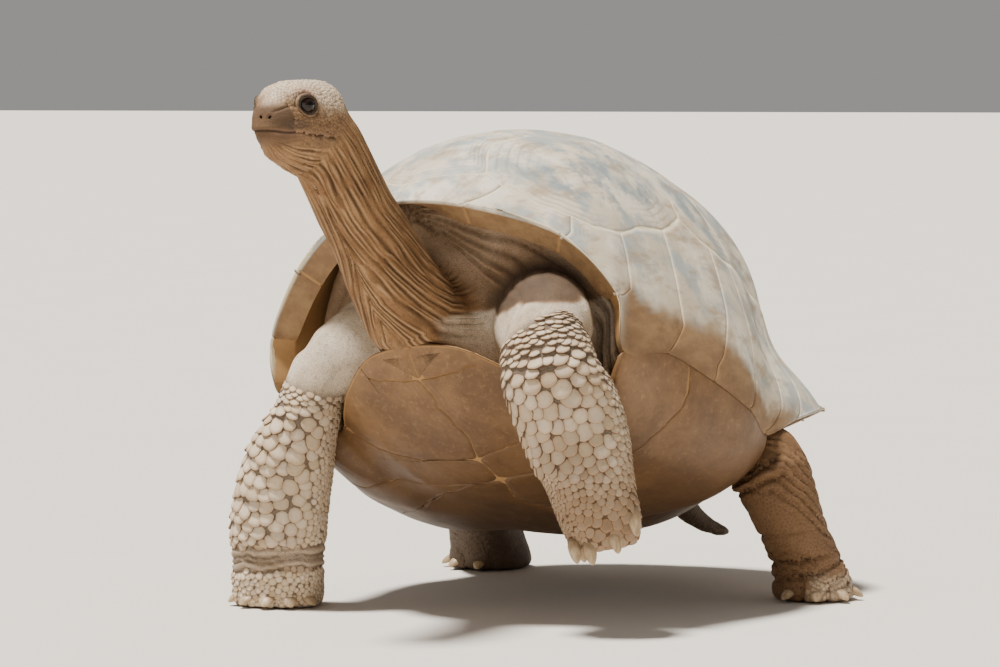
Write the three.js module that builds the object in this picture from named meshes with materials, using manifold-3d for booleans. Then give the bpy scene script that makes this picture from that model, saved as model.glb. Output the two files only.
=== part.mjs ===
// Giant tortoise, life size, walking pose with the left foreleg lifted. Millimetres.
// Head towards -Y, the animal's left towards +X, floor at Z 0.
import * as THREE from "three";
import { mergeVertices } from "three/addons/utils/BufferGeometryUtils.js";
import Module from "manifold-3d";

const wasm = await Module();
wasm.setup();

// ---- Driving sizes ------------------------------------------------------------------------
const GAP = 0.6; // air between two neighbouring solids
const BODY_PITCH = 17.0; // degrees, front of the shell up
const BODY_ROLL = 8.2; // degrees, left side of the shell up
const BODY_LIFT = 276; // height of the shell's own origin over the floor
const DOME_TOP = 489; // top of the dome over the shell's origin
const DOME_APEX_Y = 71; // where the dome is highest
const DOME_SPREAD = 0.787; // exponents of the dome's section
const DOME_RISE = 1.608;
const SHELL_WALL = 20;
const RIM_LIP = 42; // width of the marginal plates' underside
const REAR_FLARE = 0.085; // how far the plates over the hind legs turn outwards
const BELLY_DEPTH = 146; // lowest point of the plastron under the shell's origin
const PLASTRON_WALL = 20;
// The whole body is moved so that its box is centred over the origin and stands on Z 0.
const SHIFT = [-5, 108.5, 0];

// Rim of the carapace, left half: [seam between the marginal plates, x, y, z], nuchal plate
// first. 3.45 is the corner behind the foreleg where the bridge to the plastron starts.
const RIM = [
  [0, 0, -500, 253],
  [1, 115, -464, 245],
  [2, 245, -387, 204],
  [3, 325, -341, 112],
  [3.45, 325, -314, 30],
  [4, 338, -200, 52],
  [5, 356, -82, 34],
  [6, 360, 30, 13],
  [7, 341, 120, -4],
  [8, 337, 228, 46],
  [9, 325, 344, 92],
  [10, 236, 440, 106],
  [11, 122, 492, 98],
  [12, 0, 508, 90],
];
// Edge of the plastron at the same places. Between the bridge's ends it meets the rim.
const BELLY_EDGE = [
  [0, 0, -432, 44],
  [1, 82, -416, 38],
  [2, 150, -368, 8],
  [2.5, 196, -312, -12],
  [2.8, 222, -272, -24],
  [3.1, 246, -258, -26],
  [3.3, 290, -296, -4],
  [3.45, 325, -314, 30],
  [4, 338, -200, 52],
  [5, 356, -82, 34],
  [6, 360, 30, 13],
  [7, 341, 120, -4],
  [7.3, 300, 150, -28],
  [8, 236, 212, -22],
  [9, 186, 288, -18],
  [10, 136, 354, -10],
  [11, 64, 392, -4],
  [12, 0, 376, 0],
];
// The dome's own smooth base, which it follows away from the rim's corners and steps.
const SWEEP = [
  [0, 0, -484, 253],
  [1, 122, -462, 236],
  [2, 228, -400, 182],
  [3, 302, -320, 119],
  [4, 335, -208, 74],
  [5, 354, -86, 38],
  [6, 360, 30, 17],
  [7, 350, 128, 11],
  [8, 337, 228, 28],
  [9, 308, 338, 56],
  [10, 226, 430, 80],
  [11, 116, 484, 90],
  [12, 0, 502, 92],
];
const BRIDGE = [3.45, 7];
// Where the shell's facets meet, closest at the bridge's two ends.
const PLACES = [
  0, 0.6, 1.2, 1.8, 2.3, 2.7, 3.05, 3.3, 3.45, 4, 4.7, 5.4, 6.1, 6.6, 7, 7.3, 7.8, 8.5, 9.2, 9.9, 10.6, 11.3, 12,
];

// ---- Small maths --------------------------------------------------------------------------
const rad = (d) => (d * Math.PI) / 180;
const add = (a, b) => a.map((v, i) => v + b[i]);
const sub = (a, b) => a.map((v, i) => v - b[i]);
const mul = (a, s) => a.map((v) => v * s);
const dot = (a, b) => a.reduce((t, v, i) => t + v * b[i], 0);
const cross = (a, b) => [a[1] * b[2] - a[2] * b[1], a[2] * b[0] - a[0] * b[2], a[0] * b[1] - a[1] * b[0]];
const unit = (a) => mul(a, 1 / Math.hypot(...a));
const mix = (a, b, t) => a.map((v, i) => v + (b[i] - v) * t);
const step = (a, b, x) => {
  const t = Math.min(1, Math.max(0, (x - a) / (b - a)));
  return t * t * (3 - 2 * t);
};

// Catmull-Rom curve through rows of numbers; t counts rows.
function along(rows, t, mirrored) {
  const last = rows.length - 1;
  const at = (i) => {
    if (i >= 0 && i <= last) return rows[i];
    if (!mirrored) return rows[Math.min(last, Math.max(0, i))];
    const r = rows[i < 0 ? -i : 2 * last - i];
    return [-r[0], ...r.slice(1)];
  };
  const i = Math.min(last - 1, Math.floor(t));
  const f = t - i;
  const [p, q, r, s] = [at(i - 1), at(i), at(i + 1), at(i + 2)];
  return q.map(
    (v, k) =>
      v +
      0.5 * f * (r[k] - p[k] + f * (2 * p[k] - 5 * v + 4 * r[k] - s[k] + f * (3 * (v - r[k]) + s[k] - p[k]))),
  );
}
// The same through rows whose first number is the place k that they stand for.
function alongSeams(table, k) {
  const i = Math.min(table.length - 2, table.findLastIndex((row) => row[0] <= k));
  const t = i + (k - table[i][0]) / (table[i + 1][0] - table[i][0]);
  return along(table.map((row) => row.slice(1)), t, true);
}

// From the shell's own frame to the floor's: roll, then pitch, then lift.
function placed([x, y, z]) {
  const [r, p] = [rad(BODY_ROLL), rad(BODY_PITCH)];
  const x1 = x * Math.cos(r) - z * Math.sin(r);
  const z1 = x * Math.sin(r) + z * Math.cos(r);
  return [x1, y * Math.cos(p) + z1 * Math.sin(p), -y * Math.sin(p) + z1 * Math.cos(p) + BODY_LIFT];
}

// ---- Solids -------------------------------------------------------------------------------
function solid(points, faces) {
  let volume = 0;
  for (const [a, b, c] of faces) volume += dot(points[a], cross(points[b], points[c]));
  const flat = volume < 0 ? faces.map(([a, b, c]) => [a, c, b]) : faces;
  return new wasm.Manifold(
    new wasm.Mesh({
      numProp: 3,
      vertProperties: new Float32Array(points.flat()),
      triVerts: new Uint32Array(flat.flat()),
    }),
  );
}

// A closed skin over rings of equal size, with a point or the ring's middle closing each end.
function rings(list, first, last) {
  const n = list[0].length;
  const middle = (ring) => mul(ring.reduce(add), 1 / n);
  const points = [...list.flat(), first || middle(list[0]), last || middle(list.at(-1))];
  const [top, end] = [points.length - 2, points.length - 1];
  const faces = [];
  for (let i = 0; i < n; i++) {
    const j = (i + 1) % n;
    faces.push([top, j, i]);
    for (let r = 0; r + 1 < list.length; r++) {
      const [a, b, c, d] = [r * n + i, r * n + j, (r + 1) * n + i, (r + 1) * n + j];
      faces.push([a, b, d], [a, d, c]);
    }
    const base = (list.length - 1) * n;
    faces.push([end, base + i, base + j]);
  }
  return solid(points, faces);
}

// The main body of a cut solid, without slivers or needless flat facets.
const largest = (s) => s.simplify(0.3).decompose().sort((a, b) => b.volume() - a.volume())[0];

// ---- Shell --------------------------------------------------------------------------------
const ROUND = [...PLACES, ...PLACES.slice(1, -1).reverse().map((k) => 24 - k)];
const halfWay = (s) => (s <= 12 ? [s, 1] : [24 - s, -1]);

function rimAt(s) {
  const [k, side] = halfWay(s);
  const [x, y, z] = alongSeams(RIM, k);
  return [side * x, y, z];
}
function edgeAt(s) {
  const [k, side] = halfWay(s);
  if (k >= BRIDGE[0] && k <= BRIDGE[1]) return rimAt(s);
  const [x, y, z] = alongSeams(BELLY_EDGE, k);
  return [side * x, y, z];
}
// The same edge with its corners evened out, which the middle of the belly follows.
const EVEN = [-1.2, -0.6, 0, 0.6, 1.2];
const evenEdgeAt = (s) => mul(EVEN.map((d) => edgeAt((s + d + 24) % 24)).reduce(add), 1 / EVEN.length);
// Towards the middle of the shell, seen from above.
const inward = (p, d) => {
  const u = unit([p[0], (p[1] - DOME_APEX_Y) * 0.8, 0]);
  return sub(p, mul(u, d));
};

// One row of a dome over the edge ring: tau 0 at the edge, 90 at the apex.
function domePoint(s, edge, tau, top, flare) {
  const [c, h] = [Math.cos(rad(tau)), Math.sin(rad(tau))];
  const [k, side] = halfWay(s);
  const base = alongSeams(SWEEP, k);
  const rim = rimAt(s);
  base[0] *= side;
  const near = (1 - h) ** 3;
  const [x, y, z] = edge.map((v, i) => base[i] + (v - rim[i]) + (rim[i] - base[i]) * near);
  const pull = flare * Math.exp(-(((tau - 29) / (tau < 29 ? 10 : 16)) ** 2));
  const f = c ** DOME_SPREAD - pull;
  return [x * f, DOME_APEX_Y + (y - DOME_APEX_Y) * f, z + (top - z) * h ** DOME_RISE];
}
const flareAt = (s) => {
  const k = halfWay(s)[0];
  return REAR_FLARE * step(6.8, 8.4, k) * (1 - 0.6 * step(9.6, 12, k));
};
const OUTER_TAU = [0, 6, 13, 22, 33, 45, 57, 69, 80];
const INNER_TAU = [0, 16, 34, 54, 74];
const lipAt = (s, extra) => add(inward(rimAt(s), RIM_LIP + extra), [0, 0, 6]);

function carapace(grow) {
  const apex = placed([0, DOME_APEX_Y, DOME_TOP + grow]);
  const outer = OUTER_TAU.map((t) =>
    ROUND.map((s) => placed(domePoint(s, inward(rimAt(s), -grow), t, DOME_TOP + grow, flareAt(s)))),
  ).reverse();
  const under = ROUND.map((s) => placed(add(inward(rimAt(s), 5 - grow), [0, 0, -7 - grow])));
  const lip = ROUND.map((s) => placed(add(lipAt(s, grow), [0, 0, -grow])));
  const inner = INNER_TAU.map((t) =>
    ROUND.map((s) => placed(domePoint(s, lipAt(s, grow), t, DOME_TOP - SHELL_WALL - grow, flareAt(s) * 0.6))),
  );
  return rings([...outer, under, lip, ...inner], apex, placed([0, DOME_APEX_Y, DOME_TOP - SHELL_WALL - grow]));
}

// A row of the plastron: r 1 at the edge, 0 at the middle of the belly.
function bellyPoint(s, r, wall) {
  const k = halfWay(s)[0];
  const edge = mix(evenEdgeAt(s), edgeAt(s), r ** 5);
  const side = step(2.6, 4, k) * (1 - step(6.6, 8, k));
  const steep = 1 - Math.sqrt(1 - r ** 4.4);
  const gentle = r ** 3.2;
  const rise = gentle + (steep - gentle) * side;
  const floor = -BELLY_DEPTH + wall;
  const p = [edge[0] * r, edge[1] * r, floor + (edge[2] - floor) * rise];
  return wall ? inward(p, wall * r ** 6) : p;
}
const BELLY_R = [1, 0.97, 0.91, 0.81, 0.65, 0.38];
const BELLY_INNER_R = [1, 0.93, 0.8, 0.55];

function plastron(grow) {
  const drop = [0, 0, -7.6 - GAP + grow];
  const edge = ROUND.map((s) => placed(add(inward(bellyPoint(s, 1, 0), 1 - grow), drop)));
  const outer = BELLY_R.map((r) =>
    ROUND.map((s) => placed(add(inward(bellyPoint(s, r, 0), -grow), [0, 0, -12 * r ** 4 - 2 * grow]))),
  ).reverse();
  const wall = PLASTRON_WALL + grow;
  const inner = BELLY_INNER_R.map((r) => ROUND.map((s) => placed(add(bellyPoint(s, r, wall), mul(drop, r ** 4)))));
  return rings([...outer, edge, ...inner], placed([0, 0, -BELLY_DEPTH - 2 * grow]), placed([0, 0, -BELLY_DEPTH + wall]));
}

// Flesh inside the shell. It stands back from the rim in front and behind, where the legs fold.
const OPEN_FRONT = 46;
const OPEN_REAR = 40;
function trunk(grow) {
  const clear = 1.2 - grow;
  const bridge = (s) => {
    const k = halfWay(s)[0];
    return step(2.9, 3.9, k) * (1 - step(6.8, 7.8, k));
  };
  const back = (s) => (halfWay(s)[0] < 5.5 ? OPEN_FRONT : OPEN_REAR) * (1 - bridge(s));
  const upper = INNER_TAU.filter((t) => t > 0).map((t) =>
    ROUND.map((s) => {
      const p = domePoint(s, lipAt(s, clear), t, DOME_TOP - SHELL_WALL - clear, flareAt(s) * 0.6);
      return t > 20 ? p : inward(p, back(s) * 0.25);
    }),
  ).reverse();
  const high = ROUND.map((s) => add(inward(lipAt(s, clear), back(s) * 0.8 + 3), [0, 0, 8 + 0.3 * back(s)]));
  const wall = PLASTRON_WALL + clear;
  const low = ROUND.map((s) => add(inward(bellyPoint(s, 0.93, wall), back(s) * 0.9), [0, 0, 1 - 0.1 * back(s)]));
  const middle = ROUND.map((s, i) => inward(mix(high[i], low[i], 0.5), back(s) * 0.35 + 2 + 20 * bridge(s)));
  const lower = [0.8, 0.55].map((r) => ROUND.map((s) => add(bellyPoint(s, r, wall), [0, 0, 0.6])));
  const list = [...upper, high, middle, low, ...lower].map((ring) => ring.map(placed));
  return rings(list, placed([0, DOME_APEX_Y, DOME_TOP - SHELL_WALL - clear]), placed([0, 0, -BELLY_DEPTH + wall]));
}

// ---- Limbs, neck and head -----------------------------------------------------------------
// A limb is a row of sections [x, y, z, broad half, thin half]; "broad" is the way the broad
// half points. The first and last sections are flat ends; "level" ends lie flat on a height.
function limb(rows, broad, { n = 18, grow = 0, level = false, blunt = 2.2, detail = 1 } = {}) {
  const count = (rows.length - 1) * detail;
  const sections = Array.from({ length: count + 1 }, (_, i) => along(rows, i / detail));
  const list = sections.map((row, i) => {
    const here = row.slice(0, 3);
    const before = sections[Math.max(0, i - 1)].slice(0, 3);
    const after = sections[Math.min(count, i + 1)].slice(0, 3);
    let t = unit(sub(after, before));
    if (level) t = unit(mix(t, [0, 0, -1], step(count - 4, count - 1, i)));
    const w = unit(sub(broad, mul(t, dot(broad, t))));
    const v = cross(t, w);
    return Array.from({ length: n }, (_, j) => {
      const q = (2 * Math.PI * j) / n;
      const [c, s] = [Math.cos(q), Math.sin(q)];
      const m = (Math.abs(c) ** blunt + Math.abs(s) ** blunt) ** (-1 / blunt);
      return add(here, add(mul(w, (row[3] + grow) * m * c), mul(v, (row[4] + grow) * m * s)));
    });
  });
  return rings(list);
}

// Neck: its rings run from deep in the body to the back of the skull.
const NECK = [
  [-12, -215, 415, 96, 84],
  [-16, -300, 448, 90, 80],
  [-22, -362, 488, 80, 76],
  [-28, -412, 545, 70, 68],
  [-30, -455, 603, 64, 62],
  [-31, -503, 655, 61, 60],
  [-31, -540, 703, 59, 59],
  [-31, -578, 750, 57, 60],
  [-30, -612, 788, 50, 50],
];
// Head: rows of [forward of the eyes, half width, top, bottom, left-right roundness].
const HEAD_AT = [-30, -683, 815];
const HEAD_TURN = 5; // degrees towards the animal's left
const HEAD_LIFT = 3; // degrees nose up
const HEAD = [
  [-122, 40, 22, -86, 2.4],
  [-109, 52, 33, -104, 2.5],
  [-92, 56, 38, -113, 2.6],
  [-70, 56, 38, -115, 2.5],
  [-45, 53, 36, -109, 2.4],
  [-22, 50.5, 34.5, -101, 2.4],
  [-6, 49, 33, -94, 2.5],
  [10, 46, 27.5, -85, 2.5],
  [24, 40, 19.5, -77, 2.4],
  [36, 33.5, 9.5, -71, 2.3],
  [46, 27.5, 0, -66, 2.2],
  [55, 21.5, -9, -60, 2.2],
  [60.5, 14, -18, -51, 2.2],
];
const [EYE_R, EYE_OUT, EYE_FORWARD, EYE_UP] = [14, 33.5, 2, -4];

function headFrame() {
  const [a, b] = [rad(HEAD_TURN), rad(HEAD_LIFT)];
  const left = [Math.cos(a), Math.sin(a), 0];
  const flat = [Math.sin(a), -Math.cos(a), 0];
  const forward = add(mul(flat, Math.cos(b)), [0, 0, Math.sin(b)]);
  return { left, forward, up: cross(forward, left) };
}
const inHead = (f, l, u) => {
  const h = headFrame();
  return add(HEAD_AT, add(mul(h.forward, f), add(mul(h.left, l), mul(h.up, u))));
};
function headLoft(grow) {
  const n = 16;
  const list = HEAD.map(([f, half, top, bottom, round]) => {
    const [mid, tall] = [(top + bottom) / 2, (top - bottom) / 2 + grow];
    return Array.from({ length: n }, (_, j) => {
      const q = (2 * Math.PI * j) / n;
      const [c, s] = [Math.cos(q), Math.sin(q)];
      const m = (Math.abs(c) ** round + Math.abs(s) ** round) ** (-1 / round);
      // The crown is narrower than the cheeks and the throat narrower still.
      const narrow = s > 0 ? 1 - 0.1 * s * s : 1 - 0.24 * s * s;
      return inHead(f, (half + grow) * m * c * narrow, mid + tall * m * s);
    });
  });
  return rings(list);
}
const ball = (centre, r, n = 12) => wasm.Manifold.sphere(r, n).translate(centre);

// Legs. Each has an upper and a lower row of sections that overlap at the elbow or knee.
const LEGS = {
  foreleg_right: {
    upper: [
      [-90, -190, 432, 80, 70],
      [-155, -238, 428, 82, 70],
      [-198, -272, 414, 72, 62],
      [-228, -294, 396, 58, 52],
    ],
    upperBroad: [0, 0.35, 0.94],
    lower: [
      [-226, -300, 434, 24, 26],
      [-232, -303, 418, 40, 42],
      [-240, -309, 376, 50, 54],
      [-252, -315, 330, 52, 58],
      [-268, -318, 288, 60, 62],
      [-289, -319, 240, 74, 64],
      [-305, -318, 188, 80, 63],
      [-316, -315, 130, 81, 65],
      [-323, -309, 80, 81, 67],
      [-328, -303, 38, 77, 67],
      [-328, -301, 12, 77, 69],
      [-328, -301, 0, 73, 65],
    ],
    broad: [1, 0.25, 0],
    cut: { point: [-230, -299, 394], normal: [-0.6, -0.3, -0.74] },
    facing: 17,
    claws: [-62, -31, 0, 31, 62],
    foot: [-328, -301, 76, 68],
  },
  foreleg_left: {
    upper: [
      [70, -180, 470, 80, 72],
      [125, -232, 478, 86, 74],
      [178, -290, 474, 84, 72],
      [222, -340, 452, 76, 66],
    ],
    upperBroad: [0.3, 0.3, 0.9],
    lower: [
      [216, -358, 498, 36, 30],
      [224, -364, 480, 60, 48],
      [236, -374, 442, 73, 62],
      [250, -384, 402, 77, 66],
      [263, -366, 360, 84, 66],
      [273, -350, 314, 84, 62],
      [287, -348, 276, 79, 58],
      [299, -347, 240, 71, 54],
      [307, -342, 204, 67, 49],
      [315, -337, 172, 63, 44],
      [319, -334, 146, 58, 36],
      [321, -333, 134, 48, 27],
    ],
    broad: [0.83, 0.52, 0.22],
    cut: { point: [228, -350, 448], normal: [0.55, -0.62, -0.55] },
  },
  hindleg_left: {
    upper: [
      [100, 220, 274, 86, 78],
      [160, 212, 272, 86, 80],
      [215, 203, 266, 82, 76],
      [262, 194, 254, 74, 72],
    ],
    upperBroad: [0, 0.2, 0.98],
    lower: [
      [254, 178, 288, 30, 32],
      [264, 180, 270, 48, 52],
      [290, 184, 238, 64, 68],
      [316, 184, 202, 66, 68],
      [331, 189, 164, 61, 62],
      [340, 200, 128, 57, 58],
      [346, 215, 96, 56, 57],
      [351, 231, 62, 59, 61],
      [356, 243, 34, 66, 67],
      [357, 247, 12, 70, 70],
      [357, 248, 0, 66, 66],
    ],
    broad: [1, -0.2, 0],
    cut: { point: [262, 192, 252], normal: [0.75, -0.05, -0.66] },
    facing: 52,
    claws: [-61, -20, 20, 61],
    foot: [357, 247, 70, 70],
  },
  hindleg_right: {
    upper: [
      [-90, 225, 248, 80, 72],
      [-150, 216, 244, 80, 74],
      [-205, 210, 232, 76, 70],
      [-252, 210, 206, 68, 64],
    ],
    upperBroad: [0, 0.2, 0.98],
    lower: [
      [-256, 196, 240, 32, 32],
      [-264, 200, 222, 54, 54],
      [-280, 212, 188, 64, 64],
      [-300, 238, 148, 64, 64],
      [-318, 270, 108, 62, 63],
      [-331, 302, 72, 64, 67],
      [-338, 326, 38, 70, 76],
      [-341, 336, 12, 74, 80],
      [-341, 338, 0, 70, 76],
    ],
    broad: [1, 0.2, 0],
    cut: { point: [-258, 206, 208], normal: [-0.75, 0.1, -0.65] },
    facing: -42,
    claws: [-61, -20, 20, 61],
    foot: [-341, 337, 74, 79],
  },
};

function legPair(leg) {
  const upper = limb(leg.upper, leg.upperBroad, { n: 12 });
  const lower = limb(leg.lower, leg.broad, { n: 13, level: Boolean(leg.foot) });
  return upper.add(lower).trimByPlane([0, 0, 1], 0);
}

// A claw: a blunt, downward curving cone from inside the toe to its tip.
function claw({ root, out, wide, thick, long, droop }, grow = 0) {
  const side = unit(cross(out, [0, 0, 1]));
  const n = 6;
  const list = [-0.4, 0.45, 0.86, 1].map((t) => {
    const size = Math.sqrt(Math.max(0.02, 1 - Math.max(0, t) ** 2.4)) * (t < 0 ? 0.86 : 1);
    const at = add(add(root, mul(out, long * t)), [0, 0, -droop * Math.max(0, t) ** 2]);
    const up = unit(cross(side, out));
    return Array.from({ length: n }, (_, j) => {
      const q = (2 * Math.PI * j) / n;
      const [a, b] = [(wide / 2) * size + grow, (thick / 2) * size + grow];
      return add(at, add(mul(side, a * Math.cos(q)), mul(up, b * Math.sin(q))));
    });
  });
  return rings(list);
}
const CLAW = { wide: 21, thick: 13, long: 19, droop: 4 };
// Claws of a planted foot stand round its front, their tips just over the floor.
function clawsOf(leg, size = 1) {
  const [x, y, a, b] = leg.foot;
  return leg.claws.map((angle) => {
    const q = rad(leg.facing + angle);
    const out = unit([Math.sin(q), -Math.cos(q), -0.34]);
    const root = [x + (a - 8) * Math.sin(q), y - (b - 8) * Math.cos(q), 17];
    return { root, out, wide: CLAW.wide * size, thick: CLAW.thick, long: CLAW.long * size, droop: CLAW.droop };
  });
}
// The lifted foot hangs with its claws pointing down along its slanting end.
const LIFTED = [
  [283, -345, 138, 23],
  [292, -380, 142, 25],
  [313, -370, 142, 27],
  [347, -352, 160, 27],
  [366, -330, 190, 31],
];
const liftedClaws = LIFTED.map(([x, y, z, long]) => ({
  root: [x, y, z],
  out: unit([0.34, -0.2, -0.92]),
  wide: 19,
  thick: 13,
  long,
  droop: 1,
}));

const TAIL = [
  [-12, 320, 212, 46, 40],
  [-12, 372, 178, 40, 36],
  [-8, 414, 138, 31, 28],
  [0, 448, 104, 23, 21],
  [14, 480, 82, 18, 16],
  [28, 508, 70, 13, 12],
  [38, 526, 66, 7, 6.5],
];

// ---- Putting it together ------------------------------------------------------------------
const parts = {};
// The notches for the legs face forward and back, so their clearance is also a shift along Y.
const belly = [-GAP, 0, GAP].map((y) => plastron(GAP).translate([0, y, 0]));
const shellCut = wasm.Manifold.union([carapace(GAP), ...belly]);
parts.carapace = carapace(0);
parts.plastron = largest(plastron(0).subtract(carapace(GAP)));
parts.trunk = largest(trunk(0).subtract(shellCut));
const trunkCut = trunk(GAP);

// Neck and head are one body parted by a slanting cut behind the jaws.
const neckAndHead = limb(NECK, [1, 0, 0], { n: 16 }).add(headLoft(0));
const NECK_CUT = { point: inHead(-84, 0, -34), normal: unit([0, -0.86, 0.51]) };
const cutAt = ({ point, normal }) => {
  const n = unit(normal);
  return [n, dot(n, point)];
};
const [neckNormal, neckOffset] = cutAt(NECK_CUT);
const eyes = { eye_left: 1, eye_right: -1 };
let head = neckAndHead.trimByPlane(neckNormal, neckOffset + GAP / 2);
for (const [name, side] of Object.entries(eyes)) {
  const centre = inHead(EYE_FORWARD, side * EYE_OUT, EYE_UP);
  parts[name] = ball(centre, EYE_R);
  head = head.subtract(ball(centre, EYE_R + GAP));
}
parts.head = largest(head);
parts.neck = largest(
  neckAndHead
    .trimByPlane(mul(neckNormal, -1), -neckOffset + GAP / 2)
    .subtract(trunkCut)
    .subtract(shellCut),
);
const neckCut = limb(NECK, [1, 0, 0], { n: 16, grow: GAP });

for (const [name, leg] of Object.entries(LEGS)) {
  const whole = legPair(leg).subtract(trunkCut).subtract(shellCut).subtract(neckCut);
  const [normal, offset] = cutAt(leg.cut);
  const claws = leg.foot ? clawsOf(leg, name.startsWith("hind") ? 1.08 : 1) : liftedClaws;
  let foot = whole.trimByPlane(normal, offset + GAP / 2);
  claws.forEach((c, i) => {
    parts[`claw_${name}_${i + 1}`] = claw(c);
    foot = foot.subtract(claw(c, GAP));
  });
  parts[`${name}_lower`] = largest(foot).subtract(plastron(GAP / 2));
  parts[`${name}_upper`] = largest(whole.trimByPlane(mul(normal, -1), -offset + GAP / 2));
}
parts.tail = largest(limb(TAIL, [1, 0, 0], { n: 10 }).subtract(trunkCut).subtract(shellCut));

const LOOKS = {
  carapace: ["#8d8577", 0.62],
  plastron: ["#a5753f", 0.55],
  eye: ["#1d1510", 0.12],
  claw: ["#cbb594", 0.45],
  flesh: ["#94775a", 0.82],
};
const root = new THREE.Group();
root.name = "giant_tortoise";
for (const [name, body] of Object.entries(parts)) {
  const mesh = body.getMesh();
  const n = mesh.numProp;
  const points = new Float32Array(mesh.numVert * 3);
  for (let i = 0; i < mesh.numVert; i++)
    for (let k = 0; k < 3; k++) points[i * 3 + k] = mesh.vertProperties[i * n + k] + SHIFT[k];
  const geometry = new THREE.BufferGeometry()
    .setAttribute("position", new THREE.BufferAttribute(points, 3))
    .setIndex(new THREE.BufferAttribute(mesh.triVerts, 1));
  const [color, roughness] = LOOKS[name.split("_")[0]] || LOOKS.flesh;
  const made = new THREE.Mesh(
    mergeVertices(geometry, 1e-3),
    new THREE.MeshStandardMaterial({ color, roughness, metalness: 0 }),
  );
  made.name = name;
  root.add(made);
}

export default root;
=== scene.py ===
"""Giant tortoise, life size, as a still museum model: walking, left foreleg lifted.

Head towards -Y, the animal's left towards +X, floor at Z 0, metres. Sizes below are in
millimetres in the shell's own frame or the head's, and turned to metres where a mesh is made.
"""

import math

import bmesh
import bpy
import numpy as np
from mathutils import Matrix, Vector
from mathutils.bvhtree import BVHTree
from mathutils.kdtree import KDTree


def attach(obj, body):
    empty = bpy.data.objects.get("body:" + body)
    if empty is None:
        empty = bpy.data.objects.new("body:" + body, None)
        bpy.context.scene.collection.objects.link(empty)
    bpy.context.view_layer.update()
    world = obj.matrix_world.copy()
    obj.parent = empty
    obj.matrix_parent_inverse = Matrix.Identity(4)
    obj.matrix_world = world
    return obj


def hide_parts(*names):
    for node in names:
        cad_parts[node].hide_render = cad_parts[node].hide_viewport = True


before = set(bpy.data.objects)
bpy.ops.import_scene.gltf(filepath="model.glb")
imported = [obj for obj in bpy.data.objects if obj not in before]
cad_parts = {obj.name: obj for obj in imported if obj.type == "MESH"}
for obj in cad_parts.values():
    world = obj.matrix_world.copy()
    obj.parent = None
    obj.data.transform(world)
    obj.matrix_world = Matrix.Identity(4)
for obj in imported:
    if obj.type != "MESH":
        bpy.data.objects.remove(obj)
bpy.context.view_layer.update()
rng = np.random.default_rng(1868)  # one seed, so that each run lays the same scales

# ---- Driving sizes
MM = 0.001
SHIFT = np.array([-5.0, 108.5, 0.0])  # from the fitted body to the model's own origin
BODY_PITCH = 17.0  # degrees, front up
BODY_ROLL = 8.2  # degrees, the animal's left side up
BODY_LIFT = 276.0  # from the floor to the shell's own level
DOME_TOP = 489.0
DOME_APEX_Y = 71.0
DOME_SPREAD = 0.787  # exponents that give the dome's width and its height
DOME_RISE = 1.608
SHELL_WALL = 20.0
RIM_LIP = 42.0  # width of the rim's underside
REAR_FLARE = 0.085  # how far the dome draws in above the rim over the hind legs, as a share
BELLY_DEPTH = 146.0
PLASTRON_WALL = 20.0
BRIDGE = (3.45, 7.0)  # places between which the plastron grows on to the carapace
BRIDGE_EASE = 0.25  # and how softly that starts and ends

# Rim of the carapace, left half: place, x, y, z. Place n is the seam after marginal plate n.
RIM = np.array([
    [0, 0, -500, 253],
    [1, 115, -464, 245],
    [2, 245, -387, 204],
    [3, 325, -341, 112],
    [3.45, 325, -314, 30],
    [4, 338, -200, 52],
    [5, 356, -82, 34],
    [6, 360, 30, 13],
    [7, 341, 120, -4],
    [8, 337, 228, 46],
    [9, 325, 344, 92],
    [10, 236, 440, 106],
    [11, 122, 492, 98],
    [12, 0, 508, 90],
])
# The dome's smooth base, which it follows away from the rim's corners.
SWEEP = np.array([
    [0, 0, -484, 253],
    [1, 122, -462, 236],
    [2, 228, -400, 182],
    [3, 302, -320, 119],
    [4, 335, -208, 74],
    [5, 354, -86, 38],
    [6, 360, 30, 17],
    [7, 350, 128, 11],
    [8, 337, 228, 28],
    [9, 308, 338, 56],
    [10, 226, 430, 80],
    [11, 116, 484, 90],
    [12, 0, 502, 92],
])
# Edge of the plastron, with the notches for the legs. Along the bridge it is the rim.
BELLY_EDGE = np.array([
    [0, 0, -432, 44],
    [1, 82, -416, 38],
    [2, 150, -368, 8],
    [2.5, 196, -312, -12],
    [2.8, 222, -272, -24],
    [3.1, 246, -258, -26],
    [3.3, 290, -296, -4],
    [3.45, 325, -314, 30],
    [4, 338, -200, 52],
    [5, 356, -82, 34],
    [6, 360, 30, 13],
    [7, 341, 120, -4],
    [7.3, 300, 150, -28],
    [8, 236, 212, -22],
    [9, 186, 288, -18],
    [10, 136, 354, -10],
    [11, 64, 392, -4],
    [12, 0, 376, 0],
])

# Head: the middle between its eyes, in the body's space before SHIFT, and its turn and lift in
# degrees. Sizes on it are forward, out to its left and up from there.
HEAD_AT = np.array([-30.0, -683.0, 815.0])
HEAD_TURN = 5.0
HEAD_LIFT = 3.0
EYE_OUT, EYE_FORWARD, EYE_UP = 35.5, -3.5, -4.5
EYE_ASIDE = math.radians(26)  # how far the eyes look forward of straight aside
EYE_RADIUS = 15.0

# Neck: centre of each section, from the body to the skull, before SHIFT.
NECK = np.array([
    [-12, -215, 415],
    [-16, -300, 448],
    [-22, -362, 488],
    [-28, -412, 545],
    [-30, -455, 603],
    [-31, -503, 655],
    [-31, -540, 703],
    [-31, -578, 750],
    [-30, -612, 788],
], float)

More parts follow.
